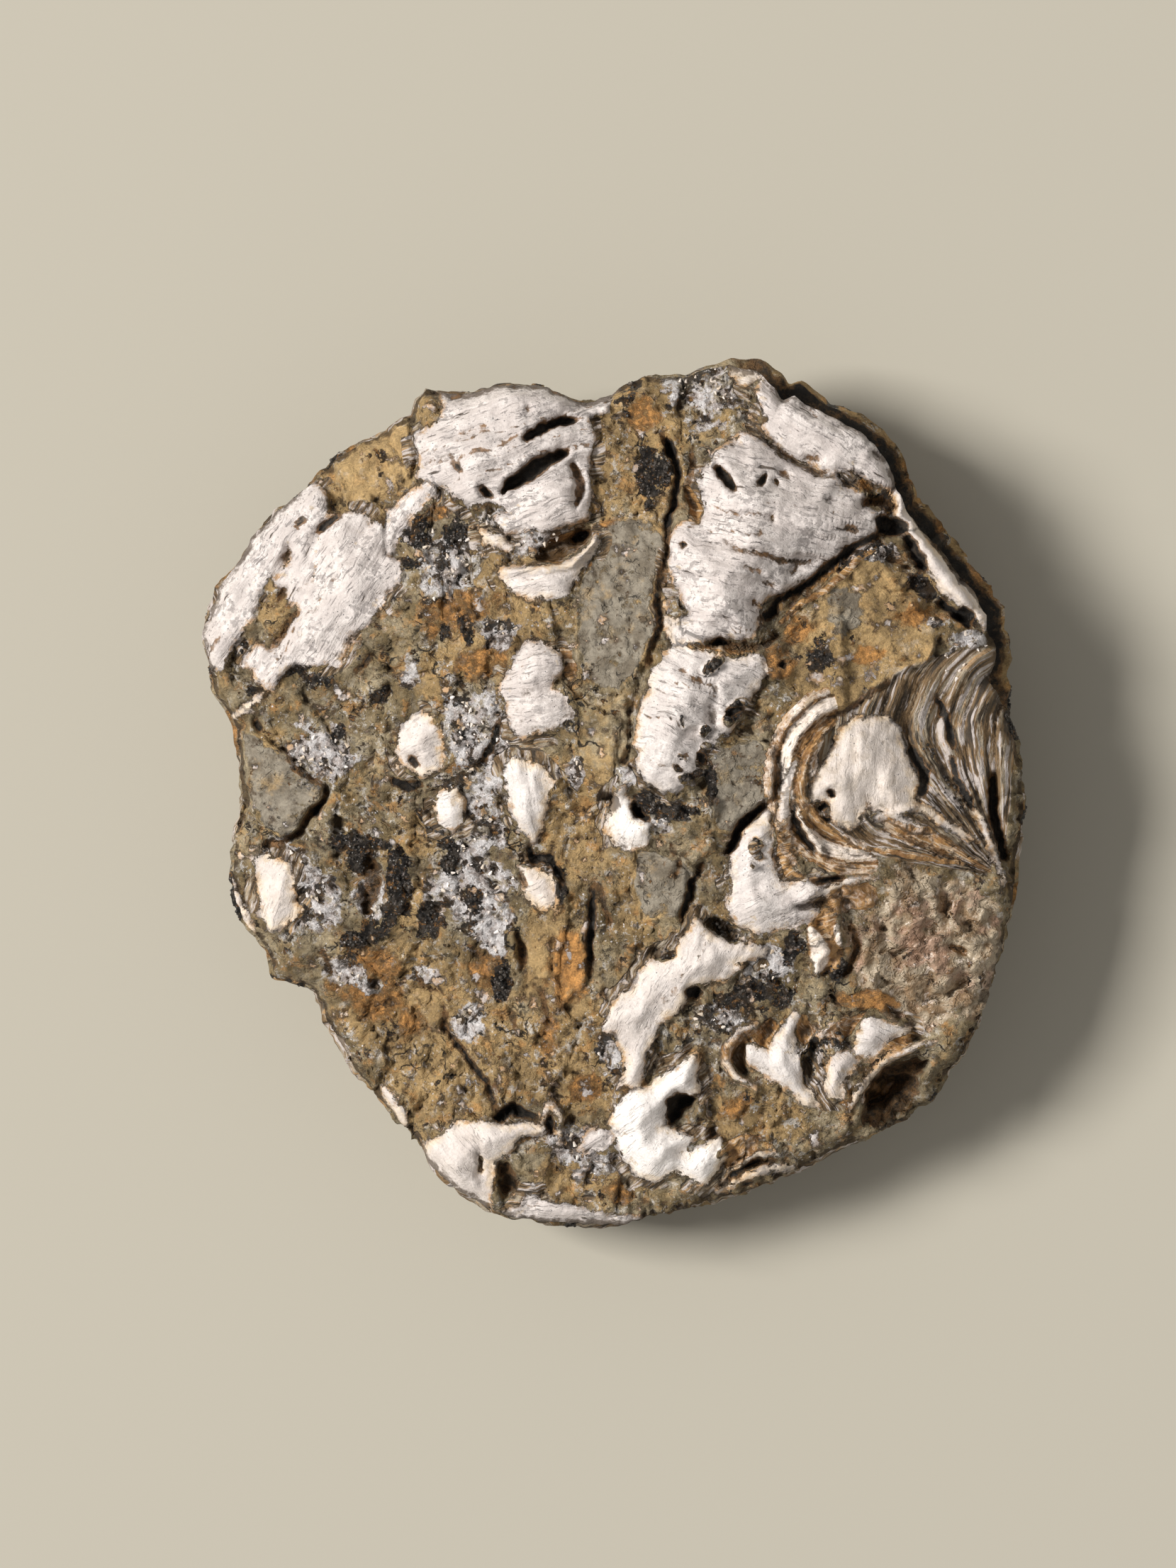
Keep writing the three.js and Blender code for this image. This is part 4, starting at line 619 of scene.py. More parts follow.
def rim_level(angle):
    return RIM_LEVEL + RIM_TILT * np.cos(angle - RIM_TILT_TOWARDS)


def blurred(sheet, passes):
    """A square sheet of heights, each evened out with its neighbours."""
    for _ in range(passes):
        for axis in (0, 1):
            padded = np.pad(sheet, [(1, 1) if i == axis else (0, 0) for i in (0, 1)], "edge")
            count = sheet.shape[axis]
            before = padded.take(range(count), axis)
            after = padded.take(range(2, count + 2), axis)
            sheet = (before + 2 * sheet + after) / 4
    return sheet


# ---- The broken face. The add_ functions change the height and the fields that they are given.

class Fields:
    """What each place is made of, and where it lies in the pattern of its fine layers."""

    def __init__(self, count):
        self.of = {name: np.zeros(count) for name in FINISHES}
        self.of["shell"] -= 2
        self.layers = np.zeros((count, 3))

    def raise_to(self, name, value, where=slice(None)):
        self.of[name][where] = np.maximum(self.of[name][where], value)

    def at(self, chosen):
        """The same for the chosen places only."""
        part = Fields(len(chosen))
        part.of = {name: self.of[name][chosen] for name in FINISHES}
        part.layers = self.layers[chosen]
        return part


def fan_layers(x, y):
    """How strongly the horny plates show, their phase across the layers, and the reach from the hinge."""
    angle = np.degrees(np.arctan2(y - HINGE[1], x - HINGE[0]))
    reach = np.hypot(x - HINGE[0], y - HINGE[1])
    bent = angle + FAN_BEND * np.maximum(0, reach - FAN_BEND_FROM) ** 2
    share = (bent - FAN_FROM) / (FAN_TO - FAN_FROM)
    strength = eased(share, 0, 0.04) * eased(1 - share, 0, 0.06) * eased(reach, 0.4, 3)
    return strength * (1 - eased(reach, FAN_REACH - 3, FAN_REACH)), share * FAN_PLATES, reach


def curl_layers(x, y):
    """How strongly the curl of plates shows, their phase from the outermost in, and the angle round it."""
    dx, dy = x - CURL_MIDDLE[0], y - CURL_MIDDLE[1]
    angle = np.degrees(np.arctan2(dy, dx)) % 360
    reach = np.hypot(dx, dy)
    strength = eased(reach, CURL_INNER, CURL_INNER + 0.5) * (1 - eased(reach, CURL_OUTER - 0.8, CURL_OUTER))
    strength *= eased(angle, CURL_FROM, CURL_FROM + 25) * (1 - eased(angle, CURL_TO - 25, CURL_TO))
    return strength, (CURL_OUTER - reach) / CURL_BAND, angle


def add_lobes(x, y, fields):
    """Marks the shell lobes, each with a horny skirt below its edge, and gives how far they stand up."""
    lift = np.zeros(len(x))
    for edge, crown, strike, cream, *outline in LOBES.values():
        some = near(x, y, outline, 2)
        inside = inside_by(x[some], y[some], outline) + LOBE_GROWTH
        reach = min(CROWN_REACH, 1.1 * inside.max())
        dome = np.sqrt(1 - (1 - np.clip(inside / reach, 0, 1)) ** 2)
        rise = mixed(eased(inside, 0, reach), dome, 0.4)
        stand = 0.5 * edge * eased(inside, -0.4, 0.3) + (crown + 0.3 * edge) * rise
        lift[some] = np.maximum(lift[some], stand)
        here = np.stack([x[some], y[some], np.zeros(len(some))], axis=1)
        ragged = lumps(here, 5, 110) + 0.5 * lumps(here, 1.4, 111)
        skirt = eased(inside, -1.5, -0.6) * eased(ragged, 0.02, 0.3)
        fields.raise_to("horn", skirt, some)
        beside = (skirt > 0.1) & (fields.of["shell"][some] < inside)
        around = np.stack([inside / 0.42, here[:, 0] / 5, here[:, 1] / 5], axis=1)
        fields.layers[some[beside]] = around[beside]
        inner = some[inside > fields.of["shell"][some]]
        fields.raise_to("shell", inside, some)
        turn = math.radians(strike)
        across = x[inner] * -math.sin(turn) + y[inner] * math.cos(turn)
        along = x[inner] * math.cos(turn) + y[inner] * math.sin(turn)
        fields.layers[inner] = np.stack([across / 0.5, along / 4, np.full(len(inner), strike)], axis=1)
        fields.of["cream"][inner] = cream
    return lift


def add_plates(x, y, height, fields):
    """Raises the stone plates where no shell covers them."""
    for edge, finish, *outline in PLATES:
        some = near(x, y, outline, 2)
        inside = inside_by(x[some], y[some], outline)
        bare = eased(-fields.of["shell"][some], -0.1, 0.3)
        height[some] += bare * edge * eased(inside, -0.15, 0.15)
        fields.raise_to(finish, 0.8 * bare * eased(inside, -0.2, 0.6), some)
        fields.raise_to("smooth", bare * eased(inside, -0.2, 0.6), some)


def add_ways(x, y, height, fields, ways, sign):
    """Ridges when sign is 1, hollows when it is -1. Both grow narrower towards their ends."""
    for size, half, finish, *way in ways:
        some = near(x, y, way, 2 * half + 1)
        distance, along = along_way(x[some], y[some], way)
        local = half * mixed(0.4, 1.15, np.sqrt(np.clip(4 * along * (1 - along), 0, 1)))
        wide = np.maximum(local, 0.4)
        profile = (1 - eased(distance / wide, 0.25, 1.3)) * np.minimum(1, local / wide)
        height[some] += sign * size * profile
        if finish == "shell" and sign > 0:
            inner = some[(local - distance) > fields.of["shell"][some]]
            fields.raise_to("shell", 0.9 * local - distance, some)
            fields.of["cream"][inner] = 0.3
        # Hollows are painted dark with shade and dirt, darkest along their middle.
        elif finish in DARKNESS:
            fields.raise_to("hollow", np.minimum(1.1, DARKNESS[finish] * profile), some)
        elif finish == "peach":
            fields.raise_to("honey", 0.5 * profile, some)
            fields.raise_to("cream", profile, some)
        elif finish in fields.of and finish != "shell":
            fields.raise_to(finish, profile, some)
            fields.of["shell"][some] -= 3 * eased(profile, 0.2, 0.8)


def spot_shares(x, y, patch):
    """The places round one soft patch, and how far they lie from its middle, where its edge is at 1."""
    middle_x, middle_y, half_x, half_y, turn = (*patch, 0)[:5]
    some = near(x, y, [(middle_x, middle_y)], 1.7 * max(half_x, half_y))
    cos, sin = math.cos(math.radians(turn)), math.sin(math.radians(turn))
    dx, dy = x[some] - middle_x, y[some] - middle_y
    return some, np.hypot((dx * cos + dy * sin) / half_x, (dy * cos - dx * sin) / half_y)


def add_patches(x, y, fields):
    """Lays the specks on the shell, then the soft patches on all that is bare."""
    for speck in SPECKS:
        some, away = spot_shares(x, y, speck)
        spot = 1 - eased(away, 0.5, 1.5)
        fields.raise_to("crust", 1.3 * spot, some)
        fields.of["shell"][some] -= 4 * spot
    for finish, patches in PATCHES.items():
        for patch in patches:
            some, away = spot_shares(x, y, patch)
            bare = 1 - eased(fields.of["shell"][some], -0.2, 0.2)
            fields.raise_to(finish, bare * (1 - eased(away, 0.3, 1.6)), some)


def add_horny_plates(x, y, places, shell, height, fields):
    """Raises the fan and the curl. Gives how strongly they show, and the reach from the hinge."""
    fan, fan_phase, fan_reach = fan_layers(x, y)
    curl, curl_phase, curl_angle = curl_layers(x, y)
    fan *= 1 - shell
    curl *= (1 - shell) * (1 - fan)
    fan_phase = fan_phase + 0.14 * lumps(places, 3, 7)
    height += fan * (0.95 * plate_step(fan_phase) + 0.4 * plate_step(3.7 * fan_phase + 0.4))
    height += curl * (0.9 * plate_step(curl_phase) + 0.2 * plate_step(3.3 * curl_phase))
    horny = np.maximum(fan, curl)
    fields.of["horn"] = np.maximum(fan, 0.9 * fields.of["horn"] * (1 - shell) * (1 - curl))
    band = (curl_phase + 0.25 * lumps(places, 2, 105)) % 1
    bare_curl = np.flatnonzero(curl > 0.3)
    fields.raise_to("honey", 0.9, bare_curl)
    paleness = np.take(CURL_PALENESS, np.clip(curl_phase.astype(int), 0, 3))
    pale = paleness * eased(band, 0, 0.25) * eased(1 - band, 0, 0.15) + 0.3 * lumps(places, 1.8, 106)
    fields.of["cream"][bare_curl] = np.clip(pale, 0, 1)[bare_curl]
    # Painted shade in the seams between the curl's bands.
    seam = 1 - eased(np.minimum(band, 1 - band), 0.02, 0.1)
    fields.raise_to("hollow", 0.8 * curl * seam)
    by_fan = np.stack([fan_phase * 2.7, fan_reach / 6, np.full(len(x), 20.0)], axis=1)
    by_curl = np.stack([curl_phase * 2.2, curl_angle / 32, np.full(len(x), 30.0)], axis=1)
    layered = (horny > 0.02) & (shell < 0.5)
    chosen = np.where((fan >= curl)[:, None], by_fan, by_curl)
    fields.layers = np.where(layered[:, None], chosen, fields.layers)
    return horny, fan_reach


def add_scales(places, warped, reach, shell, height, fields):
    """Lays the flaky outer shell beside the hinge, and gives how strongly it shows."""
    away = np.hypot(*((places[:, :2] - SCALY_MIDDLE) / SCALY_HALF).T)
    scaly = (1 - eased(away + 0.3 * lumps(places, 4, 8), 0.7, 1.15)) * (1 - shell)
    offset, number, room = flags(warped * (1, 1.25, 1), 1.9, 9)
    tilt = offset @ (-0.5, 0.75)
    curved = plate_step(reach / 3.1 + 1.1 * lumps(places, 3.6, 101))
    height += scaly * (0.7 * curved + 0.8 * tilt + 0.5 * (number - 0.5))
    # Painted shade along the step at the edge of each scale.
    edges = (1 - eased(room, 0.02, 0.13)) * eased(tilt, -0.15, 0.15)
    edges *= eased(lumps(places, 1.8, 103), -0.5, 0)
    fields.raise_to("hollow", 0.5 * edges * scaly)
    fields.of["scale"] = scaly
    return scaly


def add_stone_relief(places, warped, stone, scaly, height, fields):
    """Breaks the bare stone into slabs, thin ledges and chips, and strews scraps of shell over it."""
    smooth = fields.of["smooth"] = np.maximum(fields.of["smooth"], 0.5 * scaly)
    offset, number, room = flags(warped * (1, 0.7, 1), 4.6, 10)
    height += stone * (0.6 * (number - 0.5) + 0.55 * (offset @ (0.5, 0.4)))
    flaked = stone * (1 - scaly) * mixed(1, 0.45, smooth)
    coarse = 1.9 * lumps(places * (1, 0.8, 1), 5, 90) + 0.35 * lumps(places, 1.3, 91)
    coarse += 0.13 * lumps(places, 0.6, 92)
    fine = 1.7 * lumps(places, 2.6, 93) + 0.3 * lumps(places, 0.8, 94)
    ledges = 0.5 * terraced(1.3 * coarse) - 0.6 * coarse + 0.26 * terraced(1.3 * fine) - 0.25 * fine
    height += flaked * ledges
    for chip_size, chip_rise, salt in ((2.6, 0.55, 112), (1.3, 0.3, 113)):
        chip_offset, chip_number, _ = flags(warped, chip_size, salt)
        turn = chip_number * 2 * np.pi
        height += flaked * chip_rise * (chip_offset[:, 0] * np.cos(turn) + chip_offset[:, 1] * np.sin(turn))
    broken = eased(lumps(places, 5, 20), -0.1, 0.4)
    gap = (1 - eased(room, 0.01, 0.08)) * eased(number, 0.4, 0.6) * broken
    height -= stone * 0.5 * gap
    # The gaps between the slabs are painted dark as shade.
    fields.raise_to("hollow", 0.35 * stone * gap)
    grit = 0.08 * lumps(places, 1.1, 12) + 0.05 * lumps(places, 0.6, 13)
    height += stone * grit * mixed(1.2, 0.5, smooth)
    height += stone * fields.of["crust"] * (0.4 * np.abs(lumps(places, 0.9, 14)))
    height += stone * fields.of["drusy"] * 0.4 * lumps(places, 0.8, 15)
    spreads = {"ochre": 0.5, "rust": 0.5, "crust": 0.75, "drusy": 0.6, "slate": 0.35}
    for salt, (name, spread) in enumerate(spreads.items()):
        ragged = 0.62 * lumps(places, 2.1, 60 + salt) + 0.5 * lumps(places, 0.9, 70 + salt)
        fields.of[name] = np.clip(fields.of[name] + spread * ragged - 0.06, 0, 1.2)
    scraps = 0.9 * lumps(places, 1.5, 80) + 0.6 * lumps(places, 0.7, 81)
    scraps += 0.45 * lumps(places, 7, 82) - 0.72
    fields.raise_to("shell", np.where(stone * (1 - scaly) > 0.7, 0.7 * scraps, -2))


def add_shell_leaves(places, shell, height, fields):
    """Breaks the shell into leaves along each lobe's own direction, some of them with painted shade in
    their seams.
    """
    streak = fields.layers
    wide_ledge = streak[:, 0] / 6.4 + 0.7 * lumps(streak, 8, 16) + 0.14 * lumps(places, 1.6, 17)
    thin_ledge = streak[:, 0] / 2.6 + 0.9 * lumps(streak, 5, 97) + 0.14 * lumps(places, 1.2, 98)
    creamy = eased(np.abs(fields.of["cream"]), 0.1, 0.5)
    chalk = 0.64 * (plate_step(wide_ledge) - 0.4) + 0.27 * (plate_step(thin_ledge) - 0.4)
    chalk *= mixed(0.5, 1, eased(fields.of["shell"], 0.6, 2.4)) * mixed(1, 0.6, creamy)
    chalk += 0.3 * lumps(places, 3.4, 18) + 0.04 * lumps(places, 0.9, 19)
    height += shell * (1 - np.clip(fields.of["cream"], 0, 1) * 0.4) * chalk
    seams = np.maximum(
        eased(wide_ledge % 1, 0.84, 0.93) * eased(lumps(streak, 3, 99), -0.1, 0.3),
        eased(thin_ledge % 1, 0.74, 0.9) * eased(lumps(streak, 4, 100), 0.2, 0.5))
    seams *= mixed(1, 0.2, creamy)
    fields.raise_to("hollow", 0.5 * seams * eased(fields.of["shell"], 0.1, 0.5))


def broken_face(x, y, angle, share):
    """Height and finishes at each place of the broken face."""
    places = np.stack([x, y, np.zeros_like(x)], axis=1)
    warp_x = 0.3 * lumps(places, 2.6, 1) + 0.17 * lumps(places, 0.9, 2)
    warp_y = 0.3 * lumps(places, 2.6, 3) + 0.17 * lumps(places, 0.9, 4)
    fields = Fields(len(x))
    height = rim_level(angle) + DOME * np.maximum(0, 1 - share**2) ** DOME_FULLNESS
    height += 0.7 * lumps(places, 9, 5) + 0.35 * lumps(places, 3.4, 6)
    lift = add_lobes(x + warp_x, y + warp_y, fields)
    add_plates(x + warp_x, y + warp_y, height, fields)
    add_patches(x + 1.5 * warp_x, y + 1.5 * warp_y, fields)
    add_ways(x + 0.6 * warp_x, y + 0.6 * warp_y, height, fields, RIDGES, 1)
    shell = eased(fields.of["shell"], -0.1, 0.2)

    horny, reach = add_horny_plates(x + 0.3 * warp_x, y + 0.3 * warp_y, places, shell, height, fields)
    warped = places + np.stack([warp_x, warp_y, warp_x], axis=1)
    scaly = add_scales(places, warped, reach, shell, height, fields)
    add_stone_relief(places, warped, (1 - shell) * (1 - horny), scaly, height, fields)
    add_shell_leaves(places, shell, height, fields)

    wander_x, wander_y = 0.2 * lumps(places, 0.7, 95), 0.2 * lumps(places, 0.7, 96)
    moved_x, moved_y = x + 0.45 * warp_x + wander_x, y + 0.45 * warp_y + wander_y
    add_ways(moved_x, moved_y, height, fields, HOLLOWS, -1)
    height -= 1.2 * eased(share, 0.955, 1) ** 2
    return height, lift, fields


# ---- Wall and underside

def wall_places(angle, depth, outline, top):
    """Places down the wall between the broken face's rim and the underside. Depth runs from 0 to 1."""
    crest = crest_right(angle)
    full = outline.at(angle)
    ring = np.stack([np.cos(angle) * EDGE_RADIUS, np.sin(angle) * EDGE_RADIUS, depth * EDGE_HEIGHT], axis=1)
    reach_out = mixed(eased(depth, 0, 0.45), eased(depth, 0.34, 0.5), crest)
    seam = 0.9 * (1 - eased(np.abs(depth - mixed(0.25, 0.3, crest)), 0, 0.16))
    turn = BACK_INSET * eased(depth, 0.55, 1) ** 1.5
    wave = 0.4 * lumps(ring, 4, 21) * eased(depth, 0, 0.2) * eased(1 - depth, 0, 0.2)
    level = mixed(top, BACK_RIM_LEVEL, depth) + wave
    plates = plate_step(level / 1.5 + 0.6 * lumps(ring, 7, 22))
    skin = 0.55 * (plates - 0.5) + 0.6 * lumps(ring, 3.4, 23) + 0.25 * lumps(ring, 1.1, 24)
    fade = eased(depth, 0, 0.12) * eased(1 - depth, 0, 0.1)
    radius = mixed(full - rim_inset(angle), full, reach_out) - seam - turn + fade * (skin - 0.25)
    radius = np.minimum(radius, full)
    return np.stack([radius * np.cos(angle), radius * np.sin(angle), level], axis=1)


def wall_fields(angle, depth, places, rim):
    """Shell and stone roll over the rim, and horny plates and crust cover the rest of the wall."""
    fields = Fields(len(angle))
    keep = 1 - eased(depth, 0.08, 0.3)
    for name in FINISHES:
        fields.of[name] = rim.of[name] * keep
    drift = lumps(places, 6, 31)
    old_shell = np.where(drift + 0.5 * lumps(places, 2.4, 32) > 0.15, 0.5, -1.5)
    fields.of["shell"] = mixed(old_shell * eased(depth, 0.3, 0.6) - 0.8, rim.of["shell"], keep)
    bare = eased(lumps(places, 6, 35) + 0.5 * lumps(places, 1.8, 36), -0.05, 0.2)
    fields.raise_to("horn", 0.95 * (1 - keep) * (1 - bare))
    # Painted shade: the wall and shelf by the crest are painted dark.
    crest = crest_right(angle)
    wall = eased(depth, 0.04, 0.12) * (1 - eased(depth, 0.42, 0.5)) * crest
    fields.raise_to("hollow", wall * (1.05 + 0.4 * lumps(places, 3, 38)))
    fields.raise_to("ochre", 0.9 * crest * eased(depth, 0.4, 0.48))
    fields.of["horn"] *= 1 - 0.8 * crest
    # Painted shade in the seam between the valves.
    seam = 1 - eased(np.abs(depth - 0.25), 0.02, 0.09)
    fields.raise_to("hollow", 0.6 * seam)
    fields.raise_to("rust", 0.7 * (1 - keep) * eased(lumps(places, 3, 33), 0.1, 0.5))
    fields.raise_to("crust", 0.9 * (1 - keep) * eased(lumps(places, 4, 34), 0.1, 0.5))
    phase = places[:, 2] * 2 + 1.4 * lumps(places, 6, 37)
    layered = np.stack([phase, places[:, 0] / 5, places[:, 1] / 5], axis=1)
    fields.layers = np.where((keep > 0.5)[:, None], rim.layers, layered)
    return fields


def underside(x, y, share):
    """Height and finishes of the cupped valve: growth ledges round the hinge, and the flat it rests on."""
    places = np.stack([x, y, np.zeros_like(x)], axis=1)
    outside = np.maximum(0, (share - CUP_SHARE) / (1 - CUP_SHARE))
    reach = np.hypot(x - HINGE[0], y - HINGE[1]) + 1.4 * lumps(places, 6, 41)
    reach += 0.5 * lumps(places, 1.8, 42)
    ledges = 1.1 * plate_step((reach - 9) / 8.5) + 0.45 * plate_step(reach / 2.3)
    height = BACK_RIM_LEVEL * outside**CUP_POWER - ledges * eased(outside, 0, 0.3)
    height += eased(outside, 0, 0.2) * (0.35 * lumps(places, 3, 43) + 0.15 * lumps(places, 1.1, 44))
    height = np.maximum(0, height) + 0.25 * eased(lumps(places, 2.2, 45), 0.35, 0.8)
    fields = Fields(len(x))
    patchy = lumps(places, 9, 46) + 0.6 * lumps(places, 3, 47)
    fields.of["shell"] = 1.6 * patchy + 0.25
    fields.of["cream"] = 0.35 + 0.3 * lumps(places, 5, 48)
    fields.of["horn"] = 0.9 * eased(-patchy, -0.1, 0.3)
    fields.of["ochre"] = eased(lumps(places, 7, 49), 0, 0.6)
    fields.of["rust"] = 0.8 * eased(lumps(places, 4, 50), 0.25, 0.7)
    fields.of["crust"] = 0.9 * eased(lumps(places, 5, 51), 0.35, 0.7)
    fields.layers = np.stack([reach * 1.8, x / 5, y / 5], axis=1)
    return height, fields


# ---- The closed mesh

def square_angle(a, b):
    """Angle on the disc of a place on the square: square rings become round ones."""
    with np.errstate(divide="ignore", invalid="ignore"):
        wide = np.pi / 4 * b / a + np.where(a < 0, np.pi, 0)
        tall = np.pi / 2 - np.pi / 4 * a / b + np.where(b < 0, np.pi, 0)
    angle = np.where(np.abs(a) > np.abs(b), wide, tall)
    return np.where((a == 0) & (b == 0), 0.0, angle)


def square_sheet(squares):
    """A square sheet spread over a disc: each place's angle and its share of the reach, the indices as a
    square, and those of the rim in anticlockwise order."""
    steps = np.linspace(-1, 1, squares + 1)
    a, b = (grid.ravel() for grid in np.meshgrid(steps, steps))
    index = np.arange((squares + 1) ** 2).reshape(squares + 1, squares + 1)
    rim = np.concatenate([index[0, :-1], index[:-1, -1], index[-1, :0:-1], index[:0:-1, 0]])
    return square_angle(a, b), np.maximum(np.abs(a), np.abs(b)), index, rim


def split_squares(corners, places):
    """Two triangles from each square, cut along its shorter diagonal, so that ledges run clean."""
    first, second, third, fourth = corners.T
    gap = np.linalg.norm(places[first] - places[third], axis=1)
    other = np.linalg.norm(places[second] - places[fourth], axis=1)
    straight = np.column_stack([first, second, third, first, third, fourth])
    crossed = np.column_stack([first, second, fourth, second, third, fourth])
    return np.where((gap < other)[:, None], straight, crossed).reshape(-1, 3)


def sheet_squares(index):
    """The four corners of each square of a sheet, in anticlockwise order."""
    corners = index[:-1, :-1], index[:-1, 1:], index[1:, 1:], index[1:, :-1]
    return np.column_stack([corner.ravel() for corner in corners])


def joined_fields(parts):
    """The fields of several parts, one after another."""
    whole = Fields(0)
    for name in FINISHES:
        whole.of[name] = np.concatenate([part.of[name] for part in parts])
    whole.layers = np.concatenate([part.layers for part in parts])
    return whole


def body_mesh_data():
    """Places in millimetres, triangles and finishes of the whole closed body."""
    outline = Outline()
    angle, share, index, rim = square_sheet(FACE_SQUARES)
    full = outline.at(angle) - rim_inset(angle)
    even = outline.evened(angle) - rim_inset(angle)
    radius = share * mixed(even, full, share**8)
    x, y = radius * np.cos(angle), radius * np.sin(angle)
    height, lift, face = broken_face(x, y, angle, share)
    sheet = height.reshape(index.shape)
    # How far each place lies below the land round it; the material paints dirt and shade there.
    face.of["dip"] = (blurred(sheet, DIP_PASSES) - sheet).ravel()
    height = height + lift
    top = np.stack([x, y, height], axis=1)

    rim_angle = angle[rim]
    rim_part = face.at(rim)
    rows, row_parts = [], []
    for row in range(1, EDGE_ROWS):
        depth = np.full(len(rim), row / EDGE_ROWS)
        places = wall_places(rim_angle, depth, outline, height[rim])
        rows.append(places)
        row_parts.append(wall_fields(rim_angle, depth, places, rim_part))

    back_angle, back_share, back_index, back_rim = square_sheet(FACE_SQUARES // 2)
    back_full = outline.at(back_angle)
    back_even = outline.evened(back_angle)
    back_radius = back_share * (mixed(back_even, back_full, back_share**8) - BACK_INSET)
    back_x, back_y = back_radius * np.cos(back_angle), back_radius * np.sin(back_angle)
    back_height, back_part = underside(back_x, back_y, back_share)
    bottom = np.stack([back_x, back_y, back_height], axis=1)

    places = np.concatenate([top, *rows, bottom])
    rings = [rim] + [len(top) + row * len(rim) + np.arange(len(rim)) for row in range(EDGE_ROWS - 1)]
    start = len(top) + (EDGE_ROWS - 1) * len(rim)
    triangles = [split_squares(sheet_squares(index), places)]
    for upper, lower in zip(rings, rings[1:]):
        corners = np.column_stack([upper, lower, np.roll(lower, -1), np.roll(upper, -1)])
        triangles.append(split_squares(corners, places))
    last = rings[-1]
    here, between, after = last[0::2], last[1::2], np.roll(last, -2)[0::2]
    under = start + back_rim
    beyond = np.roll(under, -1)
    triangles += [
        np.column_stack([here, under, between]),
        np.column_stack([between, under, beyond]),
        np.column_stack([between, beyond, after]),
    ]
    triangles.append(split_squares(start + sheet_squares(back_index), places)[:, ::-1])
    fields = joined_fields([face, *row_parts, back_part])
    return places, np.concatenate(triangles), fields


def fitted(places):
    """Places in metres, moved and stretched a little so that the body fills the solid's own box."""
    low, high = places.min(axis=0), places.max(axis=0)
    cad_low, cad_high = np.array(CAD_LOW), np.array(CAD_HIGH)
    return cad_low + (places - low) / (high - low) * (cad_high - cad_low)


def new_mesh(name, places, triangles):
    mesh = bpy.data.meshes.new(name)
    mesh.vertices.add(len(places))
    mesh.vertices.foreach_set("co", places.astype(np.float32).ravel())
    mesh.loops.add(triangles.size)
    mesh.loops.foreach_set("vertex_index", triangles.astype(np.int32).ravel())
    mesh.polygons.add(len(triangles))
    mesh.polygons.foreach_set("loop_start", np.arange(0, triangles.size, 3, dtype=np.int32))
    mesh.update(calc_edges=True)
    mesh.shade_smooth()
    return mesh


def set_fields(mesh, fields):
    """Writes the fields as attributes that the materials and the scatters read."""
    for name in FINISHES:
        layer = mesh.attributes.new(name, "FLOAT", "POINT")
        layer.data.foreach_set("value", fields.of[name].astype(np.float32))
    layer = mesh.attributes.new("layers", "FLOAT_VECTOR", "POINT")
    layer.data.foreach_set("vector", fields.layers.astype(np.float32).ravel())


# ---- Materials

def linear(hex_colour):
    """An sRGB hex colour as linear red, green and blue."""
    levels = [int(hex_colour[i:i + 2], 16) / 255 for i in (1, 3, 5)]
    return [v / 12.92 if v <= 0.04045 else ((v + 0.055) / 1.055) ** 2.4 for v in levels]


def add_node(tree, kind, inputs=None, **settings):
    """Adds a node, gives it its settings, and fills its inputs: sockets are linked and other values set."""
    node = tree.nodes.new(kind)
    for name, value in settings.items():
        setattr(node, name, value)
    for key, value in (inputs or {}).items():
        if isinstance(value, bpy.types.NodeSocket):
            tree.links.new(value, node.inputs[key])
        else:
            node.inputs[key].default_value = value
    return node


def colour(value):
    """A colour as a node's socket wants it."""
    return (*value, 1)


LEDGE_STEPS = 6.0  # steps from the lowest ledge to the highest


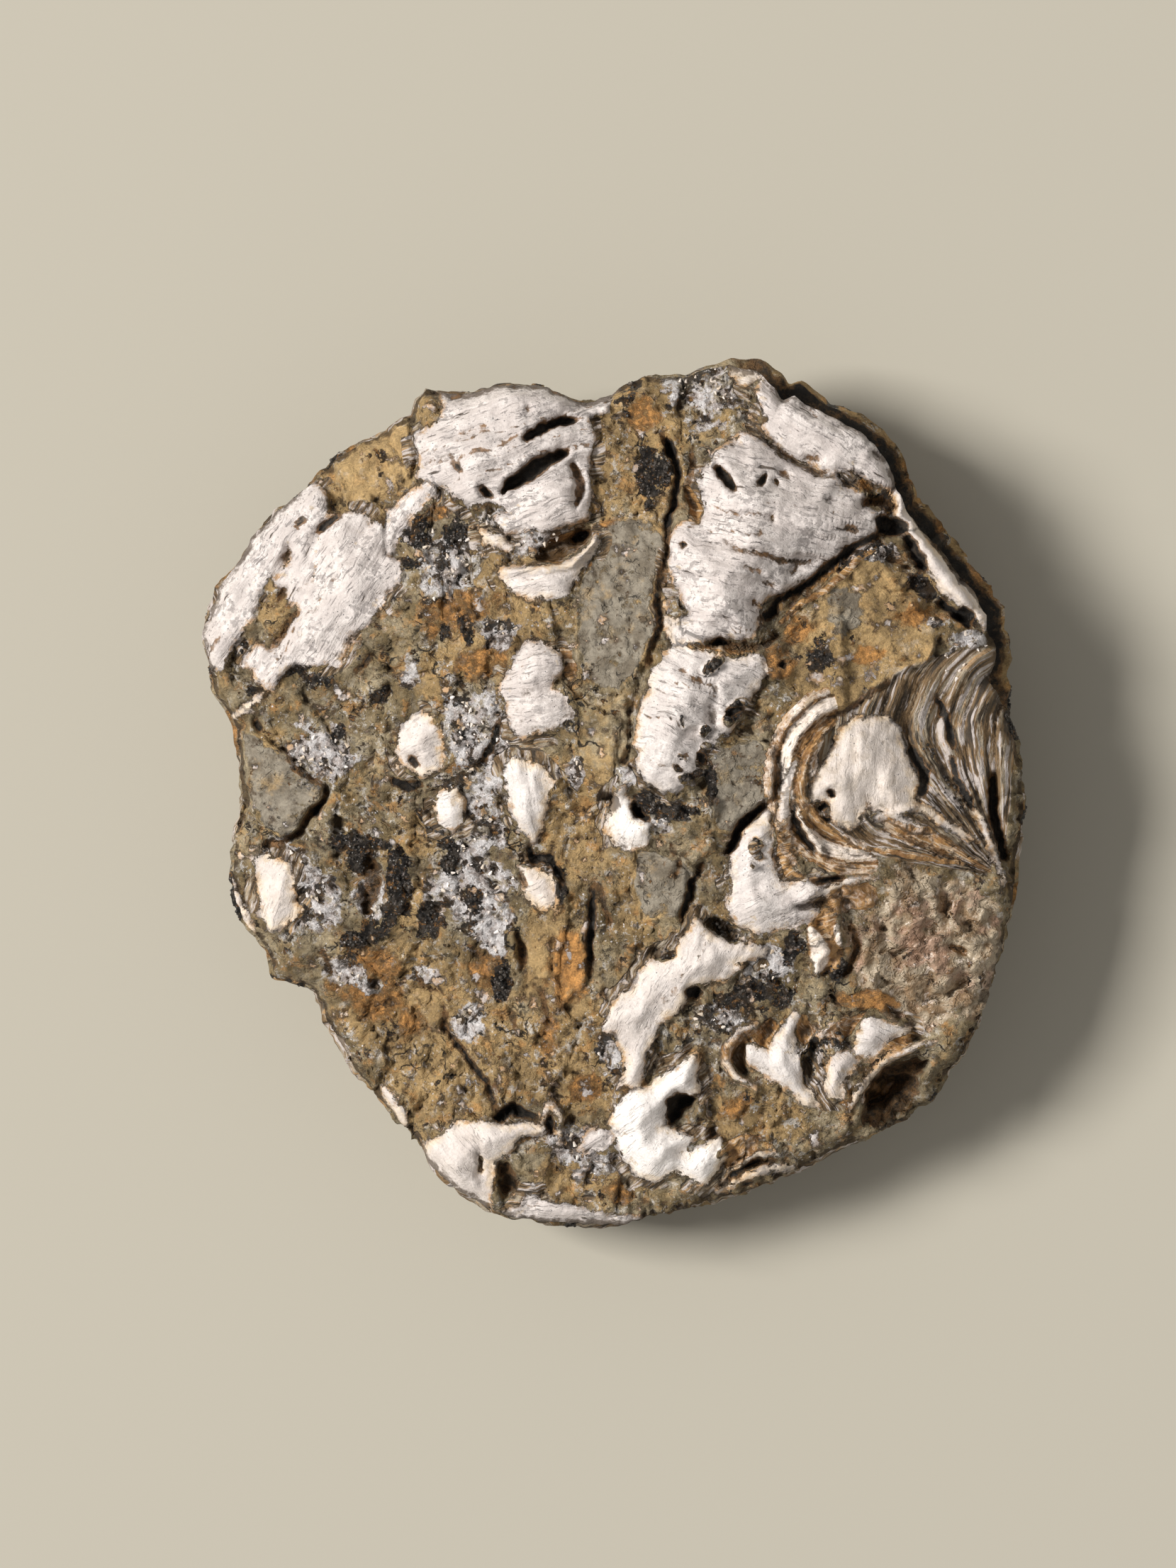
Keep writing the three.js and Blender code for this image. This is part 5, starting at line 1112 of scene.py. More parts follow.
class Painter:
    """The patterns that the finishes of one material share.

    A share says how much shows. It is a number, a socket or one of two tuples:
    (size in millimetres, detail, roughness) is noise, and a fourth item gives the places that it follows;
    (share, low, high, first, last) turns from first at low to last at high, by default from 0 to 1.
    """

    def __init__(self, tree, fields):
        self.tree = tree
        spot = add_node(tree, "ShaderNodeTexCoord").outputs["Object"]
        in_mm = {0: spot, 1: (1 / MM,) * 3}
        self.place = add_node(tree, "ShaderNodeVectorMath", in_mm, operation="MULTIPLY").outputs[0]
        self.field = {}
        for name in fields:
            outputs = add_node(tree, "ShaderNodeAttribute", attribute_name=name).outputs
            self.field[name] = outputs["Vector" if name == "layers" else "Fac"]

    def value(self, share):
        """The number or the socket that a share stands for."""
        if not isinstance(share, tuple):
            return share
        if isinstance(share[0], (int, float)):
            size, detail, roughness, *where = share
            vector = where[0] if where else self.place
            inputs = {"Vector": vector, "Scale": 1 / size, "Detail": detail, "Roughness": roughness}
            return add_node(self.tree, "ShaderNodeTexNoise", inputs).outputs["Fac"]
        given, low, high, first, last = (*share, 0, 1)[:5]
        inputs = {
            "Value": self.value(given), "From Min": low, "From Max": high, "To Min": first, "To Max": last}
        turn = add_node(self.tree, "ShaderNodeMapRange", inputs, interpolation_type="SMOOTHSTEP")
        return turn.outputs["Result"]

    def shown(self, first, *others):
        """How much shows where all the shares do: their product."""
        result = self.value(first)
        for share in others:
            inputs = {0: result, 1: self.value(share)}
            result = add_node(self.tree, "ShaderNodeMath", inputs, operation="MULTIPLY").outputs[0]
        return result

    def added(self, first, *others):
        """A share, and others added to it, each one times its own weight."""
        result = self.value(first)
        for share, weight in others:
            inputs = {0: self.value(share), 1: weight, 2: result}
            result = add_node(self.tree, "ShaderNodeMath", inputs, operation="MULTIPLY_ADD").outputs[0]
        return result

    def specks(self, size_mm, inner, outer):
        """1 in small round specks, and 0 between them."""
        cells = add_node(self.tree, "ShaderNodeTexVoronoi", {"Vector": self.place, "Scale": 1 / size_mm})
        return self.value((cells.outputs["Distance"], inner, outer, 1, 0))

    def cracks(self, size_mm, width_mm):
        """1 along some thin lines that wander as cracks do, and 0 elsewhere."""
        inputs = {"Vector": self.place, "Scale": 1 / (size_mm * 0.8), "Detail": 4.0}
        noise = add_node(self.tree, "ShaderNodeTexNoise", inputs).outputs["Color"]
        inputs = {0: noise, 1: (0.5,) * 3}
        centred = add_node(self.tree, "ShaderNodeVectorMath", inputs, operation="SUBTRACT").outputs[0]
        inputs = {0: centred, 1: (2 * size_mm,) * 3, 2: self.place}
        moved = add_node(self.tree, "ShaderNodeVectorMath", inputs, operation="MULTIPLY_ADD").outputs[0]
        inputs = {"Vector": moved, "Scale": 1 / size_mm}
        cells = add_node(self.tree, "ShaderNodeTexVoronoi", inputs, feature="DISTANCE_TO_EDGE")
        line = (cells.outputs["Distance"], 0.3 * width_mm / size_mm, width_mm / size_mm, 1, 0)
        return self.shown(line, ((size_mm * 1.3, 3, 0.6), 0.47, 0.55))

    def ledges(self, size_mm, detail=5.0):
        """Thin layers broken off one behind another."""
        level = self.shown((size_mm, detail, 0.6), LEDGE_STEPS)
        whole = add_node(self.tree, "ShaderNodeMath", {0: level}, operation="FLOOR").outputs[0]
        part = add_node(self.tree, "ShaderNodeMath", {0: level}, operation="FRACT").outputs[0]
        return self.added(whole, ((part, 0, 0.3), 1))

    def coat(self, under, upper, *shares):
        """One colour laid over another where all the shares show."""
        inputs = {0: self.shown(*shares)}
        for key, value in ((6, under), (7, upper)):
            inputs[key] = value if isinstance(value, bpy.types.NodeSocket) else colour(value)
        return add_node(self.tree, "ShaderNodeMix", inputs, data_type="RGBA").outputs[2]

    def coats(self, body, *coats):
        """Colours laid one over another, each with its own shares."""
        for upper, *shares in coats:
            body = self.coat(body, upper, *shares)
        return body

    def shaded(self, body, share):
        """The colour made darker or lighter."""
        inputs = {0: body, "Scale": self.value(share)}
        return add_node(self.tree, "ShaderNodeVectorMath", inputs, operation="SCALE").outputs[0]

    def over(self, under, upper, *shares):
        """One finish laid over another: its colour, its roughness and its height in millimetres."""
        share = self.shown(*shares)
        plain = [{0: share, 2: under[i], 3: upper[i]} for i in (1, 2)]
        rest = [add_node(self.tree, "ShaderNodeMix", inputs).outputs[0] for inputs in plain]
        return (self.coat(under[0], upper[0], share), *rest)


def sandstone(paint, colours):
    """Fine sandstone: quartz, mud and lime grains under a quarter of a millimetre, dull and gritty."""
    mottle = paint.shown(((2.6, 6, 0.66), 0.38, 0.62))
    body = paint.coat(colours.stone_dark, colours.stone, mottle)
    earth = paint.added(paint.field["ochre"], ((2.2, 6, 0.68), 1.5))
    body = paint.coat(body, colours.ochre, (earth, 0.7, 1.15, 0, 0.95))
    rough = paint.shown((paint.field["smooth"], 0, 0.8, 1, 0.25))
    busy = paint.shown(rough, ((4.5, 4, 0.6), 0.42, 0.58, 0.15, 1))
    golden = paint.shown(((1.7, 6, 0.68), 0.53, 0.64, 0, 0.5))
    body = paint.coat(body, colours.rust, golden, rough)
    pale = paint.shown(((1.2, 7, 0.76), 0.54, 0.59, 0, 0.85))
    body = paint.coat(body, colours.stone_pale, pale, busy)
    dark = paint.shown(((1.1, 8, 0.78), 0.38, 0.43, 0.9, 0))
    body = paint.coat(body, colours.crevice_dirt_and_shade, dark, busy)
    body = paint.shaded(body, ((0.24, 4, 0.7), 0.38, 0.62, 0.8, 1.14))
    body = paint.shaded(body, ((3.6, 5, 0.64), 0.36, 0.6, 0.72, 1.14))
    glints = paint.shown(paint.specks(0.55, 0.12, 0.2), ((2, 4, 0.6), 0.5, 0.58))
    body = paint.coat(body, colours.quartz, glints, busy)
    # Thin cracks painted near black: dirt and painted shade.
    cracks = paint.shown(paint.cracks(4.4, 0.17), ((7, 4, 0.6), 0.52, 0.58))
    body = paint.coat(body, colours.pit_dirt_and_shade, cracks, 0.95)
    ledges = paint.shown(paint.ledges(2), rough)
    grit = paint.added(paint.shown((0.5, 8, 0.76), (rough, 0, 1, 0.35, 0.6)), (ledges, 0.22))
    grit = paint.added(grit, (paint.shown(dark, busy), -0.2))
    return body, 0.92, paint.added(grit, (cracks, -0.3))


def mudstone(paint, colours):
    """Grey mudstone skin: fine clay that parted along its bedding, smoother than the sandstone round it."""
    body = paint.coats(
        colours.slate_dark,
        (colours.slate, ((1.6, 5, 0.64), 0.36, 0.62)),
        (colours.ochre, ((2.4, 6, 0.7), 0.52, 0.68, 0, 0.5)),
        (colours.crevice_dirt_and_shade, ((0.9, 6, 0.74), 0.33, 0.39, 0.55, 0)))
    body = paint.shaded(body, ((0.25, 4, 0.7), 0.36, 0.64, 0.86, 1.1))
    # Thin cracks painted near black: dirt and painted shade.
    cracks = paint.shown(paint.cracks(2.6, 0.14), ((3, 3, 0.6), 0.52, 0.6))
    body = paint.coat(body, colours.pit_dirt_and_shade, cracks, 0.8)
    height = paint.added(paint.shown(paint.ledges(3.5), 0.14), ((0.5, 6, 0.72), 0.22))
    return body, 0.85, paint.added(height, (cracks, -0.3))


def iron_stain(paint, colours):
    """Rust that groundwater left in the stone: powdery, deepest in the pores."""
    body = paint.coat(colours.rust_dark, colours.rust, ((1, 6, 0.75), 0.4, 0.6))
    body = paint.shaded(body, ((0.3, 4, 0.75), 0.36, 0.64, 0.72, 1.2))
    return body, 0.9, paint.shown((0.5, 6, 0.75), 0.5)


def manganese_crust(paint, colours):
    """Black manganese crust: a thin granular film with a dull metallic gleam and sand caught in it."""
    body = paint.coats(
        colours.crust,
        (colours.crust_pale, ((0.8, 5, 0.7), 0.46, 0.64)),
        (colours.rust_dark, ((0.7, 6, 0.8), 0.56, 0.61, 0, 0.8)),
        (colours.quartz_shade, ((0.5, 6, 0.8), 0.59, 0.63, 0, 0.9)))
    return body, 0.4, paint.shown((0.4, 6, 0.8), 0.8)


def quartz_lining(paint, colours):
    """Sugary quartz grown in small hollows: milky white to glassy lumps, with painted shade in the gaps
    between them.
    """
    coarse = paint.shown((1.9, 6, 0.68))
    body = paint.coats(
        colours.quartz_shade,
        (colours.quartz, ((0.9, 5, 0.7), 0.42, 0.58)),
        (colours.stone, ((2.6, 6, 0.7), 0.52, 0.58, 0, 0.8)),
        (colours.quartz, (coarse, 0.52, 0.58, 0, 0.9)))
    # Painted shade in the gaps between the lumps.
    gaps = paint.shown((coarse, 0.43, 0.48, 0.96, 0))
    gap_shade = paint.coat(colours.pit_dirt_and_shade, colours.dirt_and_shade, ((0.7, 5, 0.75), 0.44, 0.56))
    body = paint.coat(body, gap_shade, gaps)
    body = paint.shaded(body, ((0.3, 4, 0.75), 0.38, 0.6, 0.78, 1.1))
    height = paint.added(paint.shown(coarse, 1.6), ((0.6, 6, 0.75), 0.7))
    return body, 0.25, height


def chalky_shell(paint, colours):
    """Chalky foliated calcite: matt white with a lilac cast, thin dark lines and sooty pores."""
    creaminess = paint.field["cream"]
    smooth = add_node(paint.tree, "ShaderNodeMath", {0: creaminess}, operation="ABSOLUTE").outputs[0]
    chalky = paint.shown((smooth, 0, 0.3, 1, 0.12))
    streak = paint.shown((1, 3, 0.5, paint.field["layers"]))
    hair = paint.shown((0.42, 3, 0.6, paint.field["layers"]))
    body = paint.coats(
        colours.shell,
        (colours.shell_shade, ((2.4, 5, 0.6), 0.4, 0.64)),
        (colours.shell_shade, (streak, 0.4, 0.5, 0.8, 0), chalky),
        (colours.shell_fresh, (creaminess, -0.6, 0, 1, 0)))
    creamy = paint.coat(colours.cream, colours.cream_shade, ((1.4, 4, 0.6), 0.42, 0.66))
    body = paint.coat(body, creamy, (creaminess, 0, 1))
    scuffs = paint.shown((paint.added((0.5, 4, 0.65), ((2.4, 4, 0.6), 0.8)), 0.76, 0.83, 0.7, 0))
    body = paint.coat(body, colours.scuff, scuffs, chalky)
    hairlines = paint.shown((hair, 0.35, 0.42, 0.75, 0), ((2.8, 4, 0.6), 0.44, 0.56, 0.25, 1))
    body = paint.coat(body, colours.scuff, hairlines, chalky)
    # Painted shade: the shell grows darker towards its edges.
    edge_shade = paint.added((1.5, 6, 0.7), (paint.field["shell"], 0.06))
    body = paint.coat(body, colours.cream_shade, (edge_shade, 0.38, 0.44, 0.8, 0))
    body = paint.shaded(body, ((0.22, 3, 0.7), 0.36, 0.56, 0.88, 1))
    pepper = paint.shown(paint.specks(0.36, 0.1, 0.2), ((1.9, 4, 0.6), 0.5, 0.6))
    body = paint.coat(body, colours.soot, pepper, 0.9)
    edge = paint.added(paint.field["shell"], ((0.9, 7, 0.75), 2.2))
    thin = paint.shown((edge, 1.2, 2.1, 0.8, 0), ((3.4, 4, 0.6), 0.42, 0.58, 0.1, 1))
    thin = paint.shown(thin, (chalky, 0.12, 1, 1, 0))
    body = paint.coat(body, colours.peach, thin)
    rim = paint.coat(colours.scuff, colours.honey, ((2.6, 4, 0.6), 0.44, 0.6))
    body = paint.coat(body, rim, (edge, 1.05, 1.5, 0.85, 0))
    # Slits painted dark with dirt and painted shade.
    slits = paint.shown((streak, 0.3, 0.335, 1, 0))
    slits = paint.shown(slits, chalky, ((4, 2, 0.6), 0.42, 0.5))
    body = paint.coat(body, colours.dirt_and_shade, slits, 0.85)
    height = paint.added(paint.shown(streak, (chalky, 0, 1, 0.1, 0.24)), ((0.4, 5, 0.7), 0.14))
    height = paint.added(height, (hairlines, -0.12))
    return body, 0.62, paint.added(height, (slits, -0.3))


def horny_plates(paint, colours):
    """Horny outer plates: paper-thin leaves seen edge on, brown to white, with black dirt and painted shade
    between them.
    """
    layers = paint.field["layers"]
    streak = paint.shown((0.9, 4, 0.6, layers))
    fine = paint.shown((0.55, 3, 0.6, layers))
    body = paint.coats(
        colours.crevice_dirt_and_shade,
        (colours.horn, (streak, 0.36, 0.49)),
        (colours.horn_pale, (streak, 0.49, 0.57)),
        (colours.honey, (streak, 0.58, 0.64, 0, 0.8)),
        (colours.shell_shade, (fine, 0.53, 0.6, 0, 0.85)),
        (colours.crevice_dirt_and_shade, (fine, 0.37, 0.45, 0.9, 0)))
    height = paint.added(paint.shown(streak, 0.5), (fine, 0.3))
    height = paint.added(height, ((0.7, 6, 0.7), 0.3))
    return body, 0.6, height


def flaky_scales(paint, colours):
    """Flaky outer shell: waxy putty-grey scales, browner and pinker where they wore thin."""
    body = paint.coats(
        colours.scale_dark,
        (colours.scale, ((1.7, 4, 0.55), 0.38, 0.6)),
        (colours.scale_pink, ((4, 4, 0.6), 0.5, 0.62, 0, 0.75)),
        (colours.dirt_and_shade, ((2.8, 5, 0.65), 0.55, 0.64, 0, 0.6)),
        (colours.cream, ((0.9, 4, 0.6), 0.6, 0.66, 0, 0.6)))
    body = paint.shaded(body, ((0.4, 4, 0.65), 0.36, 0.64, 0.86, 1.08))
    return body, 0.38, paint.added(paint.shown((1.4, 4, 0.55), 0.7), (paint.ledges(1.6, 3.0), 0.12))


def honey_nacre(paint, colours):
    """Honey-brown inner shell: translucent and a little glossy where it broke clean, in fine leaves."""
    body = paint.coat(colours.honey_dark, colours.honey, ((1.3, 5, 0.6), 0.38, 0.62))
    leaves = paint.shown((0.6, 3, 0.6, paint.field["layers"]))
    pale = paint.added(paint.field["cream"], (paint.added((0.9, 5, 0.7), (-0.5, 1)), 1.4))
    body = paint.coats(
        body,
        (colours.cream, (pale, 0.25, 0.7)),
        (colours.cream_shade, (leaves, 0.54, 0.6, 0, 0.7)),
        (colours.dirt_and_shade, (leaves, 0.36, 0.43, 0.8, 0)),
        (colours.crevice_dirt_and_shade, ((0.8, 6, 0.75), 0.36, 0.42, 0.7, 0)))
    body = paint.shaded(body, ((0.3, 4, 0.7), 0.36, 0.64, 0.85, 1.1))
    return body, 0.35, paint.added(paint.shown((0.8, 4, 0.6), 0.25), (leaves, 0.3))


def body_material(colours):
    """Every finish of the shell and the stone, each laid where its attribute says."""
    material = bpy.data.materials.new("chalky_shell_and_iron_stained_sandstone")
    material.use_nodes = True
    tree = material.node_tree
    shader = tree.nodes["Principled BSDF"]
    paint = Painter(tree, (*FINISHES, "layers"))
    ragged = paint.added((0.7, 6, 0.7), (-0.5, 1))
    coarse = paint.added((1.3, 6, 0.7), (-0.5, 1))

    def mask(name, low, high, wobble=coarse, share=1.8):
        """The share that a finish takes, with a ragged edge."""
        return paint.added(paint.field[name], (wobble, share)), low, high

    finish = sandstone(paint, colours)
    finish = paint.over(finish, mudstone(paint, colours), mask("slate", 0.35, 0.6))
    finish = paint.over(finish, flaky_scales(paint, colours), mask("scale", 0.4, 0.6))
    patchy = paint.shown((paint.added((0.9, 7, 0.78), (paint.field["smooth"], 0.2)), 0.4, 0.54, 0.35, 0.95))
    finish = paint.over(finish, iron_stain(paint, colours), mask("rust", 0.3, 0.7), patchy)
    finish = paint.over(finish, quartz_lining(paint, colours), mask("drusy", 0.38, 0.56, share=2.2))
    torn = paint.added(coarse, (ragged, 1.0))
    finish = paint.over(finish, manganese_crust(paint, colours), mask("crust", 0.4, 0.52, torn, 2.0))
    finish = paint.over(finish, horny_plates(paint, colours), mask("horn", 0.35, 0.55, ragged, 0.5))
    edge = paint.added(paint.field["shell"], (ragged, 1.7), (coarse, 1.3))
    # Dirt and painted shade in a patchy dark band round the foot of each shell.
    foot_dirt_and_shade = paint.shown((edge, -0.45, -0.12), ((1.7, 3, 0.6), 0.42, 0.56))
    finish = (paint.coat(finish[0], colours.dirt_and_shade, foot_dirt_and_shade, 0.75), finish[1], finish[2])
    finish = paint.over(finish, chalky_shell(paint, colours), (edge, -0.06, 0.06))
    finish = paint.over(finish, honey_nacre(paint, colours), mask("honey", 0.45, 0.6, ragged, 0.8))
    # Dirt and painted shade in low places, darkest where the face dips below the land round it.
    dirt_and_shade = paint.shown((paint.added(paint.field["dip"], (ragged, 1.5)), 0.26, 0.62, 0, 0.8))
    body = paint.coat(finish[0], colours.dirt_and_shade, dirt_and_shade)
    # Painted shade and dirt in the hollows: brown where shallow, near black at the bottom.
    hollow = paint.added(paint.field["hollow"], (ragged, 1.1))
    earth = paint.coat(colours.dirt_and_shade, colours.honey_dark, ((0.8, 6, 0.7), 0.4, 0.6))
    body = paint.coat(body, earth, (hollow, 0.3, 0.55, 0, 0.9))
    depth = paint.coat(colours.pit_dirt_and_shade, colours.crevice_dirt_and_shade, ((0.6, 5, 0.7), 0.45, 0.62))
    body = paint.coat(body, depth, (hollow, 0.65, 0.9))
    bump = add_node(tree, "ShaderNodeBump", {"Height": finish[2], "Strength": 0.9, "Distance": MM})
    tree.links.new(body, shader.inputs["Base Color"])
    tree.links.new(finish[1], shader.inputs["Roughness"])
    tree.links.new(bump.outputs["Normal"], shader.inputs["Normal"])
    shader.inputs["Specular IOR Level"].default_value = 0.4
    return material


def grain_material(name, first, last, roughness):
    """Loose-looking grains whose colour changes from one grain to the next by their own number."""
    material = bpy.data.materials.new(name)
    material.use_nodes = True
    tree = material.node_tree
    shader = tree.nodes["Principled BSDF"]
    paint = Painter(tree, ["tone"])
    body = paint.coats(
        first,
        (last, paint.field["tone"]),
        (first, ((0.25, 2, 0.6), 0.35, 0.7, 0.35, 0)))
    tree.links.new(body, shader.inputs["Base Color"])
    shader.inputs["Roughness"].default_value = roughness
    return material


# ---- Scattered grains

BARE_BELOW, FULL_ABOVE = 0.5 * MM, 1.5 * MM  # no grain reaches the surface that the fossil lies on
TILT, TURN = 0.9, 3.1  # how far a grain leans and turns at most, in radians
TONE_SEED = 5


def crystal_shape(tree):
    """A stubby six-sided crystal, one unit across."""
    inputs = {"Vertices": 6, "Radius Top": 0.16, "Radius Bottom": 0.5, "Depth": 1.1}
    return add_node(tree, "GeometryNodeMeshCone", inputs).outputs["Mesh"]


def pebble_shape(tree):
    """A lump with twenty faces, one unit across."""
    return add_node(tree, "GeometryNodeMeshIcoSphere", {"Radius": 0.5, "Subdivisions": 1}).outputs["Mesh"]


def scatter_tree(name, shape, material):
    """Geometry Nodes that seed one shape over a surface, thickest where the named attribute is high."""
    tree = bpy.data.node_groups.new(name, "GeometryNodeTree")
    kinds = {"Surface": "NodeSocketGeometry", "Finish": "NodeSocketString", "Seed": "NodeSocketInt"}
    labels = "Surface", "Finish", "Low", "High", "Per square metre", "Smallest", "Largest", "Sunk", "Seed"
    for label in labels:
        kind = kinds.get(label, "NodeSocketFloat")
        tree.interface.new_socket(label, in_out="INPUT", socket_type=kind)
    tree.interface.new_socket("Grains", in_out="OUTPUT", socket_type="NodeSocketGeometry")
    given = add_node(tree, "NodeGroupInput").outputs
    finish, shell, hollow = (
        add_node(tree, "GeometryNodeInputNamedAttribute", {"Name": name}, data_type="FLOAT").outputs[0]
        for name in (given["Finish"], "shell", "hollow"))
    spot = add_node(tree, "GeometryNodeInputPosition").outputs[0]
    level = add_node(tree, "ShaderNodeSeparateXYZ", {0: spot}).outputs["Z"]
    factors = []
    for value, none_at, all_at in (
        (finish, given["Low"], given["High"]), (shell, -0.1, -0.5),
        (level, BARE_BELOW, FULL_ABOVE), (hollow, 0.5, 0.2),
    ):
        inputs = {"Value": value, "From Min": none_at, "From Max": all_at}
        factors.append(add_node(tree, "ShaderNodeMapRange", inputs).outputs[0])
    density = factors[0]
    for factor in (*factors[1:], given["Per square metre"]):
        inputs = {0: density, 1: factor}
        density = add_node(tree, "ShaderNodeMath", inputs, operation="MULTIPLY").outputs[0]
    seed = given["Seed"]
    inputs = {"Mesh": given["Surface"], "Density": density, "Seed": seed}
    seeded = add_node(tree, "GeometryNodeDistributePointsOnFaces", inputs).outputs
    inputs = {2: given["Smallest"], 3: given["Largest"], "Seed": seed}
    size = add_node(tree, "FunctionNodeRandomValue", inputs, data_type="FLOAT").outputs[1]
    inputs = {0: (-TILT, -TILT, -TURN), 1: (TILT, TILT, TURN), "Seed": seed}
    tilt = add_node(tree, "FunctionNodeRandomValue", inputs, data_type="FLOAT_VECTOR").outputs[0]
    inputs = {"Rotation": seeded["Rotation"], "Rotate By": tilt}
    turned = add_node(tree, "FunctionNodeRotateRotation", inputs, rotation_space="LOCAL").outputs[0]
    inputs = {"Points": seeded["Points"], "Instance": shape(tree), "Rotation": turned, "Scale": size}
    placed = add_node(tree, "GeometryNodeInstanceOnPoints", inputs).outputs[0]
    sink = add_node(tree, "ShaderNodeCombineXYZ", {"Z": given["Sunk"]}).outputs[0]
    inputs = {"Instances": placed, "Translation": sink, "Local Space": True}
    lowered = add_node(tree, "GeometryNodeTranslateInstances", inputs).outputs[0]
    tone = add_node(tree, "FunctionNodeRandomValue", {"Seed": TONE_SEED}, data_type="FLOAT").outputs[1]
    inputs = {"Geometry": lowered, "Name": "tone", "Value": tone}
    toned = add_node(
        tree, "GeometryNodeStoreNamedAttribute", inputs, data_type="FLOAT", domain="INSTANCE").outputs[0]
    real = add_node(tree, "GeometryNodeRealizeInstances", {"Geometry": toned}).outputs[0]
    done = add_node(tree, "GeometryNodeSetMaterial", {"Geometry": real, "Material": material}).outputs[0]
    add_node(tree, "NodeGroupOutput", {"Grains": done})
    return tree


def scatter(name, surface, shape, material, **inputs):
    """Seeds grains over the surface and keeps them as one plain mesh."""
    tree = scatter_tree(name, shape, material)
    source = bpy.data.objects.new(name + "_source", surface.data)
    bpy.context.scene.collection.objects.link(source)
    modifier = source.modifiers.new("Grains", "NODES")
    modifier.node_group = tree
    sockets = {item.name: item.identifier for item in tree.interface.items_tree if item.in_out == "INPUT"}
    for label, value in inputs.items():
        modifier[sockets[label.replace("_", " ")]] = value
    evaluated = source.evaluated_get(bpy.context.evaluated_depsgraph_get())
    mesh = bpy.data.meshes.new_from_object(evaluated)
    source.modifiers.remove(modifier)
    bpy.data.objects.remove(source)
    if not mesh.polygons:
        raise RuntimeError(f"{name}: the scatter made no grains")
    mesh.name = name
    return add_piece(name, mesh)


def add_piece(name, mesh):
    piece = bpy.data.objects.new(name, mesh)
    bpy.context.scene.collection.objects.link(piece)
    return piece


# ---- Add-on: settings, operators and panel

def paint_property(name, description, hex_colour):
    return bpy.props.FloatVectorProperty(
        name=name, description=description, subtype="COLOR", size=3, min=0, max=1,
        default=linear(hex_colour))


class FossilColours(bpy.types.PropertyGroup):
    stone: paint_property("Stone", "Body of the sandstone", "#B6A688")
    stone_dark: paint_property("Dark stone", "Damp and shaded sandstone", "#857352")
    stone_pale: paint_property("Pale stone", "Pale grains and lime in the sandstone", "#E6DFD6")
    ochre: paint_property("Ochre", "Sandstone coloured by iron clay", "#BE9F6F")
    slate: paint_property("Mudstone", "Grey mudstone skin", "#958C7D")
    slate_dark: paint_property("Dark mudstone", "Pores of the mudstone", "#746A5B")
    rust: paint_property("Rust", "Bright iron stain", "#DCA05C")
    rust_dark: paint_property("Dark rust", "Iron stain in the pores", "#A97A47")
    crust: paint_property("Crust", "Black manganese crust", "#1D1A18")
    crust_pale: paint_property("Worn crust", "Worn manganese crust", "#544D46")
    quartz: paint_property("Quartz", "Lit quartz faces", "#F8F3F2")
    quartz_shade: paint_property("Quartz shade", "Quartz faces turned away", "#C9BCB6")
    shell: paint_property("Shell", "Chalk-white shell", "#E4DBD6")
    shell_shade: paint_property("Shell shade", "Lilac grey between shell leaves", "#CDC3BE")
    shell_fresh: paint_property("Fresh shell", "Whitest and smoothest shell", "#F4EDE8")
    cream: paint_property("Cream shell", "Translucent cream shell", "#EEE0D3")
    peach: paint_property("Peach edge", "Thin edges of the smooth shell, lit through", "#E4CDAE")
    cream_shade: paint_property("Cream shade", "Darker leaves of cream shell", "#CBB9A2")
    soot: paint_property("Soot", "Dark specks in the shell's pores", "#45454A")
    scuff: paint_property("Scuff", "Grey scuffs on the shell", "#958D8A")
    horn: paint_property("Horn", "Brown horny plates", "#806748")
    horn_pale: paint_property("Pale horn", "Greyish horny plates", "#A99C88")
    honey: paint_property("Honey", "Honey-brown inner shell", "#B48C5C")
    honey_dark: paint_property("Dark honey", "Deep honey-brown shell", "#83603C")
    scale: paint_property("Scales", "Flaky outer shell", "#AE9E87")
    scale_dark: paint_property("Dark scales", "Shaded flaky shell", "#8F765A")
    scale_pink: paint_property("Pink scales", "Thin pinkish parts of the flaky shell", "#AE8C77")
    # Dirt in the creases, and painted shade at the bottom of hollows and between horny leaves.
    crevice_dirt_and_shade: paint_property("Crevice", "Dirt in the creases", "#3A3127")
    # Brown dirt, and painted shade in low places, in slits, in hollows and at the foot of the shells.
    dirt_and_shade: paint_property("Dirt", "Brown dirt in low places", "#4A3A28")
    # Painted shade and dirt at the bottom of slots and cracks, and in the gaps between quartz lumps.
    pit_dirt_and_shade: paint_property("Pit", "Bottom of the slots and cracks", "#26221E")


class FossilGrains(bpy.types.PropertyGroup):
    seed: bpy.props.IntProperty(name="Seed", description="Start of every random choice", default=7, min=0)
    quartz_size: bpy.props.FloatProperty(
        name="Quartz size", description="Width of the largest quartz crystals",
        default=0.0004, min=0.0001, max=0.003, unit="LENGTH", precision=5)
    quartz_density: bpy.props.FloatProperty(
        name="Quartz density", description="Crystals per square millimetre where quartz grows",
        default=1.2, min=0, max=50)
    wart_size: bpy.props.FloatProperty(
        name="Wart size", description="Width of the largest crust warts",
        default=0.0004, min=0.0001, max=0.002, unit="LENGTH", precision=5)
    wart_density: bpy.props.FloatProperty(
        name="Wart density", description="Warts per square millimetre of crust", default=5.0, min=0, max=50)


